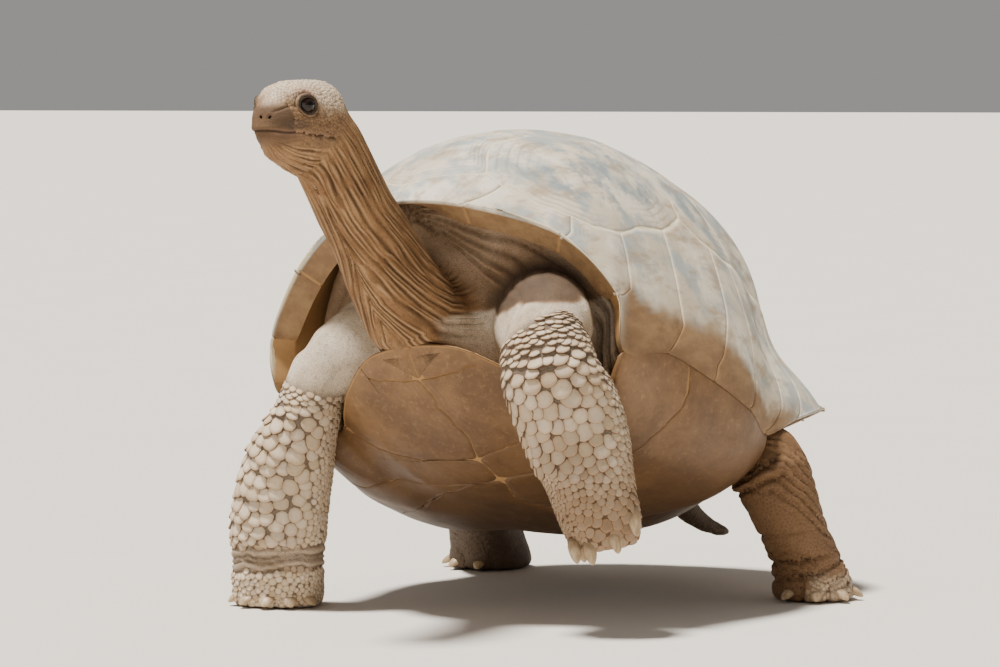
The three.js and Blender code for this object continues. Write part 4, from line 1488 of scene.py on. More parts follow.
def leather():
    """Dry reptile skin, folded and dusty: warm tan-brown, with painted shade darker and redder down in the
    folds, under the scales and on shaded parts, cream where it is rubbed and pale with dust and where
    painted light stands for sun, with a fine net of wrinkles 3 to 4 mm apart."""
    marks = ("pale", "cord", "corded", "crease", "beak", "rosy", "grey", "dark_lids_and_mouth_shade", "dark")
    f = Finish("leathery_skin", 0.8, 0.2, *marks)
    cloud = f.add(NOISE, f.place, 1000 / 55, 5, 0.6)
    fine = f.add(NOISE, f.place, 1000 / 6, 5, 0.65)
    brown = f.add(MIX, f.add(RAMP, cloud, 0, 1, 0.35, 0.65), "#815e3d", "#9e7852")
    cream = f.add(MIX, f.add(RAMP, cloud, 0, 1, 0.3, 0.65), "#c6b398", "#dccdb8")
    # pale: dust, and painted light where the sun would fall.
    c = f.add(MIX, f.mark["pale"], brown, cream)
    c = f.add(MIX, f.add(RAMP, fine, 0, 0.5, 0.5, 0.75), c, "#6b4c32")
    gap = f.add(NET, f.place, 1000 / WRINKLE_NET)
    c = f.add(MIX, f.add(TIMES, f.add(RAMP, gap, 1, 0, 0.0, 0.16), 0.34), c, "#543c27")
    # Fine cords of loose skin: the mesh carries how many of them lie to one side of each place. Painted
    # shade darkens their valleys and a painted highlight lightens their ridges.
    wave = f.add(POSITIVE, f.add(SINE, f.add(TIMES, f.mark["cord"], math.pi)))
    painted_valley_shade = f.add(TIMES, f.add(RAMP, wave, 1, 0, 0.0, 0.55), f.mark["corded"])
    c = f.add(MIX, f.add(TIMES, painted_valley_shade, 0.75), c, "#3f2c1c")
    # Painted highlight on the cords' ridges.
    ridge = f.add(TIMES, f.add(RAMP, wave, 0, 1, 0.75, 1.0), f.mark["corded"])
    c = f.add(MIX, f.add(TIMES, ridge, 0.5), c, "#c5a47e")
    # Painted shade: darker in the folds, under the scales and on the upper hind legs.
    c = f.add(MIX, f.add(TIMES, f.mark["crease"], 0.8), c, "#3f2b1b")
    c = f.add(MIX, f.add(TIMES, f.mark["beak"], f.add(RAMP, cloud, 0.5, 1, 0.3, 0.6)), c, "#5f4936")
    c = f.add(MIX, f.add(TIMES, f.mark["rosy"], 0.7), c, "#a88073")
    # grey: the smudge before the eye, and painted shade on the tail, the right hind leg and the top of the
    # left arm.
    c = f.add(MIX, f.add(TIMES, f.mark["grey"], 0.85), c, "#433c35")
    # Dark lids, and painted shade along the mouth's groove.
    c = f.add(MIX, f.add(TIMES, f.mark["dark_lids_and_mouth_shade"], f.add(RAMP, fine, 0.8, 1, 0.3, 0.7)), c, "#2e241d")
    # Painted shade: near black down in the nostrils.
    c = f.add(MIX, f.mark["dark"], c, "#0d0806")
    f.link("Base Color", c)
    f.link("Roughness", f.add(RAMP, fine, 0.7, 0.9))
    cords = f.add(TIMES, f.add(TIMES, wave, f.mark["corded"]), 1.5)
    bumps = f.add(PLUS, f.add(RAMP, gap, 0, 0.35, 0.0, 0.22), f.add(TIMES, fine, 0.3))
    f.link("Normal", f.add(BUMP, f.add(PLUS, bumps, cords), 1.1 * MM))
    return f.material


def scale_horn():
    """Keratin of the scales: matt and dusty, pale on top where it is rubbed and dusty and where painted
    light stands for sun, brown towards the edges, with painted shade dark at the very edge, in the gaps and
    on shaded parts; each scale a little different."""
    f = Finish("keratin_scales", 0.66, 0.28, "tone", "pale", "rim", "grey", "rosy")
    fine = f.add(NOISE, f.place, 1000 / 5, 5, 0.65)
    brown = f.add(MIX, f.mark["tone"], "#6d4f35", "#775839")
    cream = f.add(MIX, f.mark["tone"], "#c6b091", "#dac9b0")
    # pale: dust, and painted light where the sun would fall.
    c = f.add(MIX, f.mark["pale"], brown, cream)
    cool = f.add(RAMP, f.add(NOISE, f.place, 1000 / 38, 4, 0.6), 0, 0.5, 0.5, 0.7)
    c = f.add(MIX, f.add(TIMES, cool, f.mark["pale"]), c, "#b3a69c")
    c = f.add(MIX, f.add(RAMP, fine, 0, 0.4, 0.5, 0.8), c, "#7f6347")
    c = f.add(MIX, f.add(TIMES, f.add(RAMP, f.mark["rim"], 0, 1, 0.35, 0.95), 0.45), c, "#9a7550")
    # Painted shade: dark at the very edge, where the scale goes down to the skin and the gaps lie.
    c = f.add(MIX, f.add(TIMES, f.add(RAMP, f.mark["rim"], 0, 1, 0.86, 1.0), 0.95), c, "#472f1d")
    # grey: painted shade on the tail, the right hind leg and the top of the left arm, and the smudge before
    # the eye.
    c = f.add(MIX, f.add(TIMES, f.mark["grey"], 0.9), c, "#41382f")
    c = f.add(MIX, f.add(TIMES, f.mark["rosy"], 0.5), c, "#b08876")
    f.link("Base Color", c)
    f.link("Roughness", f.add(RAMP, fine, 0.55, 0.78))
    f.link("Normal", f.add(BUMP, f.add(NOISE, f.place, 1000 / 2.6, 5, 0.7), 0.3 * MM))
    return f.material


def eye_gloss():
    """A wet cornea over a nearly black eye: dark brown iris round a black pupil, mirror-smooth."""
    f = Finish("wet_cornea", 0.1, 0.22, "from_axis")
    turn = f.mark["from_axis"]
    iris = f.add(MIX, f.add(NOISE, f.place, 1000 / 1.2, 5, 0.7), "#150b05", "#2b190b")
    c = f.add(MIX, f.add(RAMP, turn, 0, 1, 17, 20), "#030202", iris)
    c = f.add(MIX, f.add(RAMP, turn, 0, 1, 36, 40), c, "#120b07")
    f.link("Base Color", c)
    f.shader.inputs["Coat Weight"].default_value = 0.15
    f.shader.inputs["Coat Roughness"].default_value = 0.03
    return f.material


def claw_horn():
    """Worn keratin of the claws: pale tan with darker streaks towards the tip, faintly polished."""
    f = Finish("keratin_claw", 0.42, 0.4, "root")
    streak = f.add(NOISE, f.add(STRETCH, f.place, (1, 1, 0.25)), 1000 / 4, 4, 0.6)
    c = f.add(MIX, f.add(RAMP, streak, 0, 1, 0.3, 0.7), "#9b8060", "#bca583")
    c = f.add(MIX, f.add(TIMES, f.mark["root"], 0.5), c, "#6d543b")
    f.link("Base Color", c)
    f.link("Normal", f.add(BUMP, streak, 0.3 * MM))
    return f.material


def shade_edge(p):
    """Height of the painted edge of the shell rim's shadow on the left shoulder: painted light lies below
    it, painted shade above.
    """
    return 486 + 0.16 * np.maximum(p[:, 0] - 80, 0) + 8 * lattice_noise(p, 30, 63)


# From the breast out to the top of each arm.
SHOULDERS = (((66, -350, 450), (235, -400, 470)), ((-60, -430, 430), (-245, -380, 395)))


def dust_and_painted_light(p, region):
    """How pale the skin is: dust, and painted light where the sun would fall; most on the arms, the
    shoulders, the breast beside the left arm and the crown.
    """
    q = to_shell(p)
    forward, _, up = in_head(p).T
    fore = region["foreleg_left"] + region["foreleg_right"]
    upper = region["foreleg_left_upper"] + region["foreleg_right_upper"]
    hind = region["hindleg_left"] + region["hindleg_right"] + region["hindleg_left_upper"]
    breast = step(-370, -420, q[:, 1]) * step(70, 20, q[:, 2]) * region["trunk"]
    shoulder = np.zeros(len(p))
    for ends in SHOULDERS:
        _, off, _ = on_line(ends, p)
        shoulder = np.maximum(shoulder, 1 - step(55, 115, np.linalg.norm(off, axis=1)))
    shoulder = shoulder * (1 - region["neck"] * step(110, 175, neck_place(p)[0])) * (1 - fore)
    # Painted light on the outer toes of the left hind foot.
    painted_lit_toes = hind * step(60, 30, p[:, 2]) * step(370, 392, p[:, 0] + 9 * lattice_noise(p, 14, 64))
    # Below the painted shadow edge of the rim the skin takes painted light; above it, none.
    below = step(3, -5, p[:, 2] - shade_edge(p))
    beside = region["trunk"] + upper + region["neck"] * step(40, 66, p[:, 0])
    painted_sunlit_ledge = beside * below * step(20, 50, p[:, 0])
    upper = upper * np.where(p[:, 0] > 0, below, 1.0)
    shoulder = shoulder * (p[:, 0] < 0)
    hand = region["foreleg_left"] * step(330, 200, p[:, 2])
    wrist = region["foreleg_right"] * step(112, 98, p[:, 2]) * step(56, 66, p[:, 2])
    # Dust and painted light on the arms and shoulders; painted light on the low breast and the outer toes.
    pale = 0.8 * np.maximum(upper, shoulder) + 0.8 * fore - 0.45 * hand + 0.7 * painted_lit_toes + 0.6 * breast
    # Painted light: the shaded breast is lightened, as the bright ground would light it.
    pale = np.maximum(pale, 0.27 * region["trunk"])
    # Painted light on the breast beside the left arm and on the right foreleg.
    pale = np.maximum(pale, painted_sunlit_ledge) + 0.2 * (region["foreleg_right"] + region["foreleg_right_upper"])
    pale = pale - 0.4 * wrist
    # Dust and painted light on the crown: paler on top.
    drift = 14 * lattice_noise(p, 22, 62) + 8 * step(0, -40, forward)
    pale = pale + region["head"] * (0.05 + 0.78 * step(-16, 20, up + drift))
    return np.clip(pale + 0.14 * lattice_noise(p, 60, 61) * (pale > 0.1), 0, 1)


def face_marks(p, region):
    """Marks of the face (beak, rosy brow, grey smudge before the eye, dark lids, and painted shade along
    the mouth's groove), a little grey on the left shin, and painted shade on the tail, the right hind leg
    and the top of the left arm, which the shell shades."""
    f, l, u = in_head(p).T
    head = region["head"]
    side = step(8, 20, np.abs(l))
    beak = head * (0.35 + 0.65 * step(14, 34, f)) * step(-72, -60, u) * step(0, -14, u)
    rosy = head * side * spot(f, u, (-4, 17), (22, 8))
    rosy = np.maximum(rosy, 0.3 * head * step(-60, -40, f) * hump(u, -48, 4) * side)
    grey = 1.3 * head * side * spot(f, u, (22, -34), (20, 7))
    grey = grey * (0.75 + 0.7 * lattice_noise(p, 4, 71))
    # Painted shade: the tail and the right hind leg lie in the shell's shade.
    behind = region["tail"] + region["hindleg_right"] + region["hindleg_right_upper"]
    shin = region["hindleg_left"] * step(362, 350, p[:, 0] - p[:, 2])
    # Painted shade: the top of the left arm above the rim's shadow edge.
    top = region["foreleg_left_upper"] * step(-5, 6, p[:, 2] - shade_edge(p))
    grey = np.maximum(np.maximum(grey, 0.9 * behind + 0.2 * shin), 0.9 * top)
    dark_lids_and_mouth_shade = 0.3 * head * side * (1 - step(0.98, 1.28, lid_distance(f, u)))
    # Painted shade: a thin dark line along the groove of the mouth.
    dark_lids_and_mouth_shade = np.maximum(dark_lids_and_mouth_shade, 0.8 * head * step(-70, -60, f) * hump(u, mouth_line(f), 1.7))
    return {"beak": beak, "rosy": rosy, "grey": np.clip(grey, 0, 1), "dark_lids_and_mouth_shade": dark_lids_and_mouth_shade}


def lid_ring(side, tree):
    """One eye's lids: from their edge on the eyeball out to the fold round them; painted shade darkens the
    grooves of their folds, and the lids are darkest at their edge on the eyeball.
    """
    turn = np.linspace(0, 2 * math.pi, 112, endpoint=False)
    rim = np.stack([np.cos(turn), np.sin(turn)], -1)
    middle = np.array([EYE_FORWARD, side * EYE_OUT, EYE_UP])
    out_way = unit(np.array([math.sin(EYE_ASIDE), side * math.cos(EYE_ASIDE), 0.03]))
    fore_way = np.array([math.cos(EYE_ASIDE), -side * math.sin(EYE_ASIDE), 0.0])
    up_way = np.array([0, 0, 1.0])
    ball = EYE_RADIUS + 1.3
    edge = []
    for f, u in rim * np.array(LID_REACH) * 1.07 + [EYE_FORWARD, EYE_UP]:
        hit = tree.ray_cast(Vector(from_head([f, side * 90.0, u])), Vector(HEAD_AXES[1] * -side))[0]
        edge.append(in_head(np.array(hit)) - [0, side * 0.5, 0])
    edge = np.array(edge)
    reach = np.array([-0.10, -0.05, 0.0] + list(np.linspace(0.04, 1, 22)))
    first = rim * LID_GAP * (1.0 if side > 0 else RIGHT_LIDS)
    lip = np.sqrt(ball**2 - (first**2).sum(1))
    inner = middle + first[:, :1] * fore_way + first[:, 1:] * up_way + lip[:, None] * out_way
    upper = step(-0.3, 0.5, np.sin(turn))
    rows, crease, share_of = [], [], []
    for q in reach:
        share = max(q, 0.0)
        if q < 0:
            point = inner + (middle - inner) * (-q * 2.2)
            lines = 0 * turn
        else:
            point = inner + (edge - inner) * share
            swell = 1.6 + 1.4 * upper + 2.2 * step(0, 0.9, np.cos(turn))
            swell = swell * math.sin(math.pi * share**0.75) ** 0.8
            lines = np.cos(2 * math.pi * (4.2 * share + 0.25 * np.sin(2 * turn + side)))
            lines = lines * math.sin(math.pi * share) * (0.42 + 0.1 * np.sin(9 * turn))
            point = point + (swell + lines)[:, None] * unit(out_way + 0.6 * unit(edge - middle))
        rows.append(from_head(point))
        # Painted shade in the grooves between the lids' folds.
        crease.append(np.clip(0.3 - 1.1 * lines, 0, 1) * (q > 0))
        share_of.append(np.full(len(turn), share))
    quads = grid_faces(len(rows), len(turn), closed=True)
    if side < 0:
        quads = quads[:, ::-1]
    share = np.concatenate(share_of)
    # The lids are darkest at their edge on the eyeball.
    dark_lids_and_mouth_shade = 1 - 0.85 * step(0.3, 0.75, share)
    return np.concatenate(rows), quads, np.concatenate(crease), dark_lids_and_mouth_shade, 0 * share


def nostril_ring(side, tree):
    """A nostril: a low rim round a pit, dark with painted shade, that runs back into the muzzle."""
    turn = np.linspace(0, 2 * math.pi, 32, endpoint=False)
    reach = [5.0, 4.2, 3.4, 2.8, 2.3, 2.0, 1.7, 0.9, 0.1]
    height = [-0.5, 0.1, 0.45, 0.3, -0.4, -1.6, -3.2, -4.2, -4.4]
    out = side * NOSTRIL_OUT + MUZZLE_TURN * 60
    edge = []
    for a, b in zip(out + 5 * np.cos(turn), NOSTRIL_UP + 5.7 * np.sin(turn)):
        hit = tree.ray_cast(Vector(from_head([120.0, a, b])), Vector(-HEAD_AXES[0]))[0]
        edge.append(in_head(np.array(hit))[0] if hit else 55.0)
    edge = np.array(edge)
    middle = edge.mean()
    rows = []
    for r, h in zip(reach, height):
        l = out + r * np.cos(turn)
        u = NOSTRIL_UP + 1.15 * r * np.sin(turn) + 0.25 * side * r * np.cos(turn)
        f = middle + (edge - middle) * (r / reach[0]) + h
        rows.append(from_head(np.stack([f, l, u], -1)))
    quads = grid_faces(len(rows), len(turn), closed=True)
    # Painted shade: the deeper into the pit, the nearer to black.
    dark = np.repeat(step(-0.2, -1.8, np.array(height)), len(turn))
    nothing = 0 * dark
    return np.concatenate(rows), quads, nothing, nothing, dark


def finish_skin(p, web, region, marks):
    """Joins lids and nostrils to the skin and makes the piece."""
    tree = BVHTree.FromPolygons(p.tolist(), web.faces.tolist())
    spacing, _ = scale_spacing(p, region)
    low = region["head"] + region["tail"] + region["hindleg_left"] + region["hindleg_right"]
    # Painted shade on the skin between and under the scales (less on the head, the tail and the hind legs),
    # and on the upper hind legs under the shell.
    shade_under_scales = web.even((spacing > 0) * (0.95 - 0.55 * np.clip(low, 0, 1)), 2)
    hind_shade = 0.9 * (region["hindleg_left_upper"] + region["hindleg_right_upper"])
    values = {
        "crease": np.maximum(marks["crease"], np.maximum(shade_under_scales, hind_shade)),
        "cord": marks["cord"],
        "corded": marks["corded"],
        "pale": dust_and_painted_light(p, region),
        **face_marks(p, region),
        "dark": np.zeros(len(p)),
    }
    points = [p]
    fours = []
    count = len(p)
    for ring in (lid_ring, nostril_ring):
        for side in (1, -1):
            q, quads, crease, dark_lids_and_mouth_shade, dark = ring(side, tree)
            points.append(q)
            fours.append(quads + count)
            count += len(q)
            pale, beak = (0.3, 0.0) if ring is lid_ring else (0.0, 1.0)
            extra = {"crease": crease, "dark_lids_and_mouth_shade": dark_lids_and_mouth_shade, "dark": dark}
            extra.update(pale=np.full(len(q), pale), beak=np.full(len(q), beak))
            for key in values:
                values[key] = np.concatenate([values[key], extra.get(key, np.zeros(len(q)))])
    points = to_model(np.concatenate(points))
    make("skin", points, [web.faces, np.concatenate(fours)], leather(), FLESH, values)
    return tree


# ---- Eyes and claws
CORNEA = 0.9  # how far the cornea stands out of the eyeball
CORNEA_TURN = 40  # and how many degrees from the eye's axis it ends


def build_eyes():
    """Two eyeballs, each a little more curved in front."""
    gloss = eye_gloss()
    around, rows = 64, 48
    for name, side in (("eye_left", 1), ("eye_right", -1)):
        axis = unit(np.array([math.sin(EYE_ASIDE), side * math.cos(EYE_ASIDE), 0.04]))
        across = unit(np.cross(axis, [0, 0, 1.0]))
        up = np.cross(across, axis)
        angle = np.linspace(0, math.pi, rows + 2)[1:-1]
        turn = np.arange(around) * 2 * math.pi / around
        radius = EYE_RADIUS + CORNEA * np.maximum(1 - (np.degrees(angle) / CORNEA_TURN) ** 2, 0)
        ring = np.cos(turn)[:, None] * across + np.sin(turn)[:, None] * up
        points = np.cos(angle)[:, None, None] * axis + np.sin(angle)[:, None, None] * ring
        points = points * radius[:, None, None]
        ends = np.stack([axis * (EYE_RADIUS + CORNEA), -axis * EYE_RADIUS])
        q = np.concatenate([points.reshape(-1, 3), ends]) + [EYE_FORWARD, side * EYE_OUT, EYE_UP]
        turned = np.concatenate([np.repeat(np.degrees(angle), around), [0, 180]])
        verts = to_model(from_head(q))
        faces = tube_faces(rows, around)
        make("glass_" + name, verts, faces, gloss, [name], {"from_axis": turned})


CLAW_WIDE, CLAW_THICK, CLAW_LONG, CLAW_DROOP = 21.0, 14.0, 19.0, 4.0
RIGHT_CLAW_WIDER = 1.3  # the planted forefoot's claws are worn broad
LIFTED_WIDE, LIFTED_LONGER, LIFTED_DROOP = 23.0, 1.12, 1.0


def claw_places(leg):
    """Root, direction, width, length and droop of each claw of a foot."""
    if leg == "foreleg_left":
        way = unit(np.array([0.34, -0.2, -0.92]))
        out = []
        for *root, long in LIFTED:
            out.append((np.array(root, float), way, LIFTED_WIDE, long * LIFTED_LONGER, LIFTED_DROOP))
        return out
    (x, y, a, b), facing, angles, size = PLANTED[leg]
    out = []
    for angle in angles:
        q = math.radians(facing + angle)
        way = unit(np.array([math.sin(q), -math.cos(q), -0.34]))
        root = np.array([x + (a - 8) * math.sin(q), y - (b - 8) * math.cos(q), 17.0])
        broad = RIGHT_CLAW_WIDER if leg == "foreleg_right" else 1.0
        out.append((root, way, CLAW_WIDE * size * broad, CLAW_LONG * size, CLAW_DROOP))
    return out


def build_claws():
    """Blunt claws as rows of oval rings that shrink to a round tip; one piece for each foot."""
    horn = claw_horn()
    around = 22
    turn = np.arange(around) * 2 * math.pi / around
    t = np.concatenate([[-0.38, -0.1], np.linspace(0.05, 0.8, 10), [0.87, 0.92, 0.96, 0.985, 0.996]])
    for leg in LEGS:
        points, quads, caps, roots = [], [], [], []
        count = 0
        for number, (root, way, wide, long, droop) in enumerate(claw_places(leg)):
            side = unit(np.cross(way, [0, 0, 1.0]))
            up = np.cross(side, way)
            size = np.maximum(1 - np.maximum(t, 0) ** 2.1, 0.004) ** 0.56 * np.where(t < 0, 0.9, 1.0)
            size = size * (1 + 0.018 * np.sin(t * 40 + number))
            fall = np.array([0, 0, droop]) * (np.maximum(t, 0) ** 2)[:, None]
            at = root + way * (long * t)[:, None] - fall
            ridge = 1 + 0.03 * np.cos(5 * turn + number)
            a = side * (np.cos(turn) * ridge * wide / 2 * 0.97)[:, None]
            b = up * (np.sin(turn) * CLAW_THICK / 2 * 0.97)[:, None]
            rows = at[:, None] + (a + b) * size[:, None, None]
            ends = np.stack([at[0], at[-1] + way * 0.3])
            points.append(np.concatenate([rows.reshape(-1, 3), ends]))
            squares, ends = tube_faces(len(t), around, count)
            quads.append(squares)
            caps.append(ends)
            roots.append(np.concatenate([np.repeat(1 - step(0.05, 0.4, t), around), [1, 0]]))
            count += len(t) * around + 2
        names = [f"claw_{leg}_{i + 1}" for i in range(len(roots))]
        body = to_model(np.concatenate(points))
        body[:, 2] = np.maximum(body[:, 2], 0.0)
        faces = [np.concatenate(quads)[:, ::-1], np.concatenate(caps)[:, ::-1]]
        make("claws_" + leg, body, faces, horn, names, {"root": np.concatenate(roots)})


# ---- Scales
TRIES = 6.0  # random places tried for each scale that fits
CROWDING = 0.76  # how near scattered scales may be, as a share of the wanted distance
ROUNDS = 6  # times that crowded scales push each other apart
REACH = 0.76  # the widest a scale's edge may lie from its middle, as a share of its width
TONGUE = 0.57  # and where its far edge tends to lie
PATCH = 0.003  # width of a scale's own patch on the unwrapped skin
LAP = 0.17  # how far a scale reaches over the next one, as a share of its width
PROFILES = {  # share of the radius and of the height, from the middle to the edge
    14: ((0.50, 1.08), (0.84, 1.0), (0.96, 0.8), (1.0, -0.2)),
    10: ((0.60, 1.0), (0.94, 0.85), (1.0, -0.25)),
    8: ((0.66, 1.0), (1.0, -0.3)),
}


def limb_side(off, way):
    """1 where a point of a limb faces this way, -1 where it faces away."""
    return unit(off) @ unit(np.array(way, float))


def scale_spacing(p, region):
    """Wanted distance between scales at each place, in mm, 0 where the skin is bare; and how many
    times nearer they are along the limb than across it."""
    out = np.zeros(len(p))
    squeeze = np.ones(len(p))
    height = p[:, 2]

    s, off, _ = on_line(LIMBS["foreleg_left"], p)
    front = step(-0.15, 0.75, limb_side(off, (0.3, -0.95, 0.0)))
    size = 8.5 + front * (2 + 10.0 * step(50, 100, s) * (1 - step(225, 290, s)))
    size = size + 6.5 * step(300, 345, s) * step(0.2, 0.9, limb_side(off, (0.9, -0.4, 0)))
    size = np.where((s > 250) & (limb_side(off, (-0.75, -0.65, 0)) > 0.8), 6.5, size)
    begin = 40 - 24 * limb_side(off, (0.9, 0.1, 0.3))
    leg = region["foreleg_left"] > 0.5
    out = np.where(leg & (s > begin), size, out)
    squeeze = np.where(leg, 1.15 + 0.85 * (1 - step(50, 125, s)), squeeze)

    s, off, _ = on_line(LIMBS["foreleg_right"], p)
    front = step(-0.1, 0.55, limb_side(off, (-0.15, -1.0, 0)))
    size = 8.5 + front * (2 + 10.5 * step(345, 300, height) * step(95, 140, height))
    size = np.where(height < 95, 7.0 + 2.5 * front, size)
    leg = region["foreleg_right"] > 0.5
    out = np.where(leg & (height < 362 + 16 * limb_side(off, (-1, 0, 0))), size, out)
    squeeze = np.where(leg, 1.25 + 0.55 * step(290, 350, height), squeeze)
    lines = wrist_folds(p)
    out = np.where(leg & (height > lines[0]) & (height < lines[3]), 0, out)

    size = 7.0 + 1.5 * step(70, 30, height)
    for name, top in (("hindleg_left", 236), ("hindleg_right", 200)):
        out = np.where((region[name] > 0.5) & (height < top), size, out)
    out = np.where(region["tail"] > 0.5, 7.5, out)

    f, l, u = in_head(p).T
    crown = step(14, 30, u)
    lids = lid_distance(f, u)
    size = 5.9 + 1.7 * crown - 0.9 * np.exp(-((lids - 1.3) ** 2) / 0.12)
    bare = (lids < 1.16) & (np.abs(l) > 14)
    beak = (f > 30 + 5 * lattice_noise(p, 7, 75)) & (u < -4) | (f > 47) | (f > -8) & (u < -46)
    mouth = np.abs(u - mouth_line(f, 0)) < 2.4
    throat = u < -62 - 0.1 * (f + 20)
    head = (region["head"] > 0.6) & ~bare & ~beak & ~throat & ~(mouth & (f > -66))
    out = np.where(head, size, out)
    soles = height < 4.5
    return np.where(soles, 0, out), squeeze


def scatter(p, faces, spacing):
    """Random places on the faces, none nearer to another than its own spacing allows."""
    tri = p[faces]
    area = np.linalg.norm(np.cross(tri[:, 1] - tri[:, 0], tri[:, 2] - tri[:, 0]), axis=1) / 2
    wish = spacing[faces]
    wide = wish.mean(1)
    chance = np.where(wish.min(1) > 0, TRIES * area / (0.866 * np.maximum(wide, 1) ** 2), 0)
    run = np.cumsum(chance)
    count = int(run[-1])
    pick = np.searchsorted(run, (np.arange(count) + rng.random(count)) * run[-1] / count)
    pick = np.minimum(pick, len(faces) - 1)
    a, b = rng.random(count), rng.random(count)
    over = a + b > 1
    a, b = np.where(over, 1 - a, a), np.where(over, 1 - b, b)
    t = tri[pick]
    points = t[:, 0] + (t[:, 1] - t[:, 0]) * a[:, None] + (t[:, 2] - t[:, 0]) * b[:, None]
    tree = grown_tree(points)
    free = np.ones(count, bool)
    chosen = []
    for i in rng.permutation(count):
        if free[i]:
            chosen.append(i)
            for _, j, _ in tree.find_range(points[i], CROWDING * wide[pick[i]]):
                free[j] = False
    return points[chosen], pick[chosen]


def grown_tree(points):
    """A search tree over points."""
    tree = KDTree(len(points))
    for i, q in enumerate(points):
        tree.insert(q, i)
    tree.balance()
    return tree


def neighbours(points, count):
    """For each point, which others lie nearest to it."""
    tree = grown_tree(points)
    return np.array([[hit[1] for hit in tree.find_n(q, count + 1)][1:] for q in points])


def onto_skin(points, tree):
    """The nearest places on the skin and the faces that they lie on."""
    hits = [tree.find_nearest(Vector(q)) for q in points]
    place = np.array([h[0][:] for h in hits])
    return place, np.array([h[2] for h in hits])


def settle(points, tree, face):
    """Pushes crowded scales apart along the skin."""
    for _ in range(ROUNDS):
        points, owner = onto_skin(points, tree)
        size, lie, squeeze = (face[key][owner] for key in ("size", "lie", "squeeze"))
        near = neighbours(points, 7)
        gap = points[:, None] - points[near]
        stretch = (gap * lie[:, None]).sum(2) * (squeeze - 1)[:, None]
        measured = np.linalg.norm(gap + stretch[..., None] * lie[:, None], axis=2)
        wanted = (size[:, None] + size[near]) * 0.5
        push = np.maximum(wanted - measured, 0) / np.maximum(measured, 0.1)
        points = points + (gap * push[..., None]).sum(1) * 0.25
    return onto_skin(points, tree)


def scale_shapes(points, normals, size, lie, squeeze, sides):
    """Each scale's outline as radii in equal turns: its share of the room between neighbours."""
    d = unit(lie - normals * (lie * normals).sum(1, keepdims=True))
    b = np.cross(normals, d)
    near = neighbours(points, 14)
    gap = points[near] - points[:, None]
    x = (gap * d[:, None]).sum(2) * squeeze[:, None]
    y = (gap * b[:, None]).sum(2)
    turn = (np.arange(sides) + 0.5) * 2 * math.pi / sides
    cut = (x**2 + y**2) * (size[:, None] / (size[:, None] + size[near]))
    facing = x[..., None] * np.cos(turn) + y[..., None] * np.sin(turn)
    room = np.where(facing > 1e-6, cut[..., None] / np.maximum(facing, 1e-6), 1e9).min(1)
    room = np.minimum(room, size[:, None] * REACH)
    room = 0.6 * room + 0.2 * (np.roll(room, 1, 1) + np.roll(room, -1, 1))
    # The far edge is round and laps over the next scale; the near edge goes under the last one.
    far = np.clip(np.cos(turn), 0, 1)
    tongue = size[:, None] * TONGUE
    room = room + far**1.5 * (tongue - room) * 0.6 + far * LAP * size[:, None]
    return 1.06 * room * (1 + 0.035 * rng.normal(size=room.shape)), d, b, turn


def build_scales(name, chosen, points, owner, tree, face, sides, high, material, unwrap):
    """One piece of scales: each a low rounded plate whose far edge stands up over the next."""
    normals = face["normal"][owner]
    size, squeeze = face["size"][owner] * face["vary"], face["squeeze"][owner]
    room, d, b, turn = scale_shapes(points, normals, size, face["lie"][owner], squeeze, sides)
    points, normals, size, squeeze, room, d, b, owner = (
        data[chosen] for data in (points, normals, size, squeeze, room, d, b, owner)
    )
    count = len(points)
    x = np.cos(turn) * room / squeeze[:, None]
    y = np.sin(turn) * room
    outer = points[:, None] + x[..., None] * d[:, None] + y[..., None] * b[:, None]
    on, _ = onto_skin(outer.reshape(-1, 3), tree)
    fall = on.reshape(outer.shape) - outer
    height = (high * size * (0.75 + 0.5 * rng.random(count)))[:, None]
    tilt = np.clip(x / (0.6 * size[:, None] / squeeze[:, None]), -1, 1)
    rows, rims = [], []
    for reach, up in PROFILES[sides]:
        h = height * (up if up < 0 else up * (0.04 + 0.96 * (0.5 + 0.5 * tilt * reach) ** 1.35))
        at = points[:, None] + (outer - points[:, None]) * reach + fall * reach**2
        rows.append(at + normals[:, None] * h[..., None])
        rims.append(np.full((count, sides), reach))
    middle = points + normals * height * 0.5
    block = np.concatenate([middle[:, None]] + rows, axis=1)
    each = block.shape[1]
    i = np.arange(sides)
    j = (i + 1) % sides
    fan = np.stack([0 * i, 1 + i, 1 + j], -1)
    quads = []
    for inner in range(1, 1 + (len(rows) - 1) * sides, sides):
        quads.append(np.stack([inner + i, inner + sides + i, inner + sides + j, inner + j], -1))
    start = (np.arange(count) * each)[:, None, None]
    tris = (fan[None] + start).reshape(-1, 3)
    quads = (np.concatenate(quads)[None] + start).reshape(-1, 4)
    tone = rng.random(count)
    # pale: dust and painted light, from the skin under the scale.
    pale = np.clip(face["pale"][owner] * (1 + 0.09 * rng.normal(size=count)), 0, 1)
    values = {
        "rim": np.concatenate([np.zeros((count, 1))] + rims, axis=1).ravel(),
        "tone": np.repeat(tone, each),
        "pale": np.repeat(pale, each),
        "grey": np.repeat(face["grey"][owner], each),
        "rosy": np.repeat(face["rosy"][owner], each),
    }
    piece = make(name, to_model(block.reshape(-1, 3)), [tris, quads], material, (), values)
    grow = np.concatenate([[0]] + [np.full(sides, reach) for reach, _ in PROFILES[sides]])
    around = np.concatenate([[0]] + [turn] * len(rows))
    patch = np.stack([np.cos(around), np.sin(around)], -1) * grow[:, None] * PATCH / 2
    write_map(piece.data, (unwrap(points)[:, None] + patch).reshape(-1, 2))


def write_map(mesh, place):
    """The map for baking, from one place for each vertex."""
    layer = mesh.uv_layers.new(name="OFBake")
    corners = np.zeros(len(mesh.loops), np.int32)
    mesh.loops.foreach_get("vertex_index", corners)
    layer.data.foreach_set("uv", place[corners].astype(np.float32).ravel())


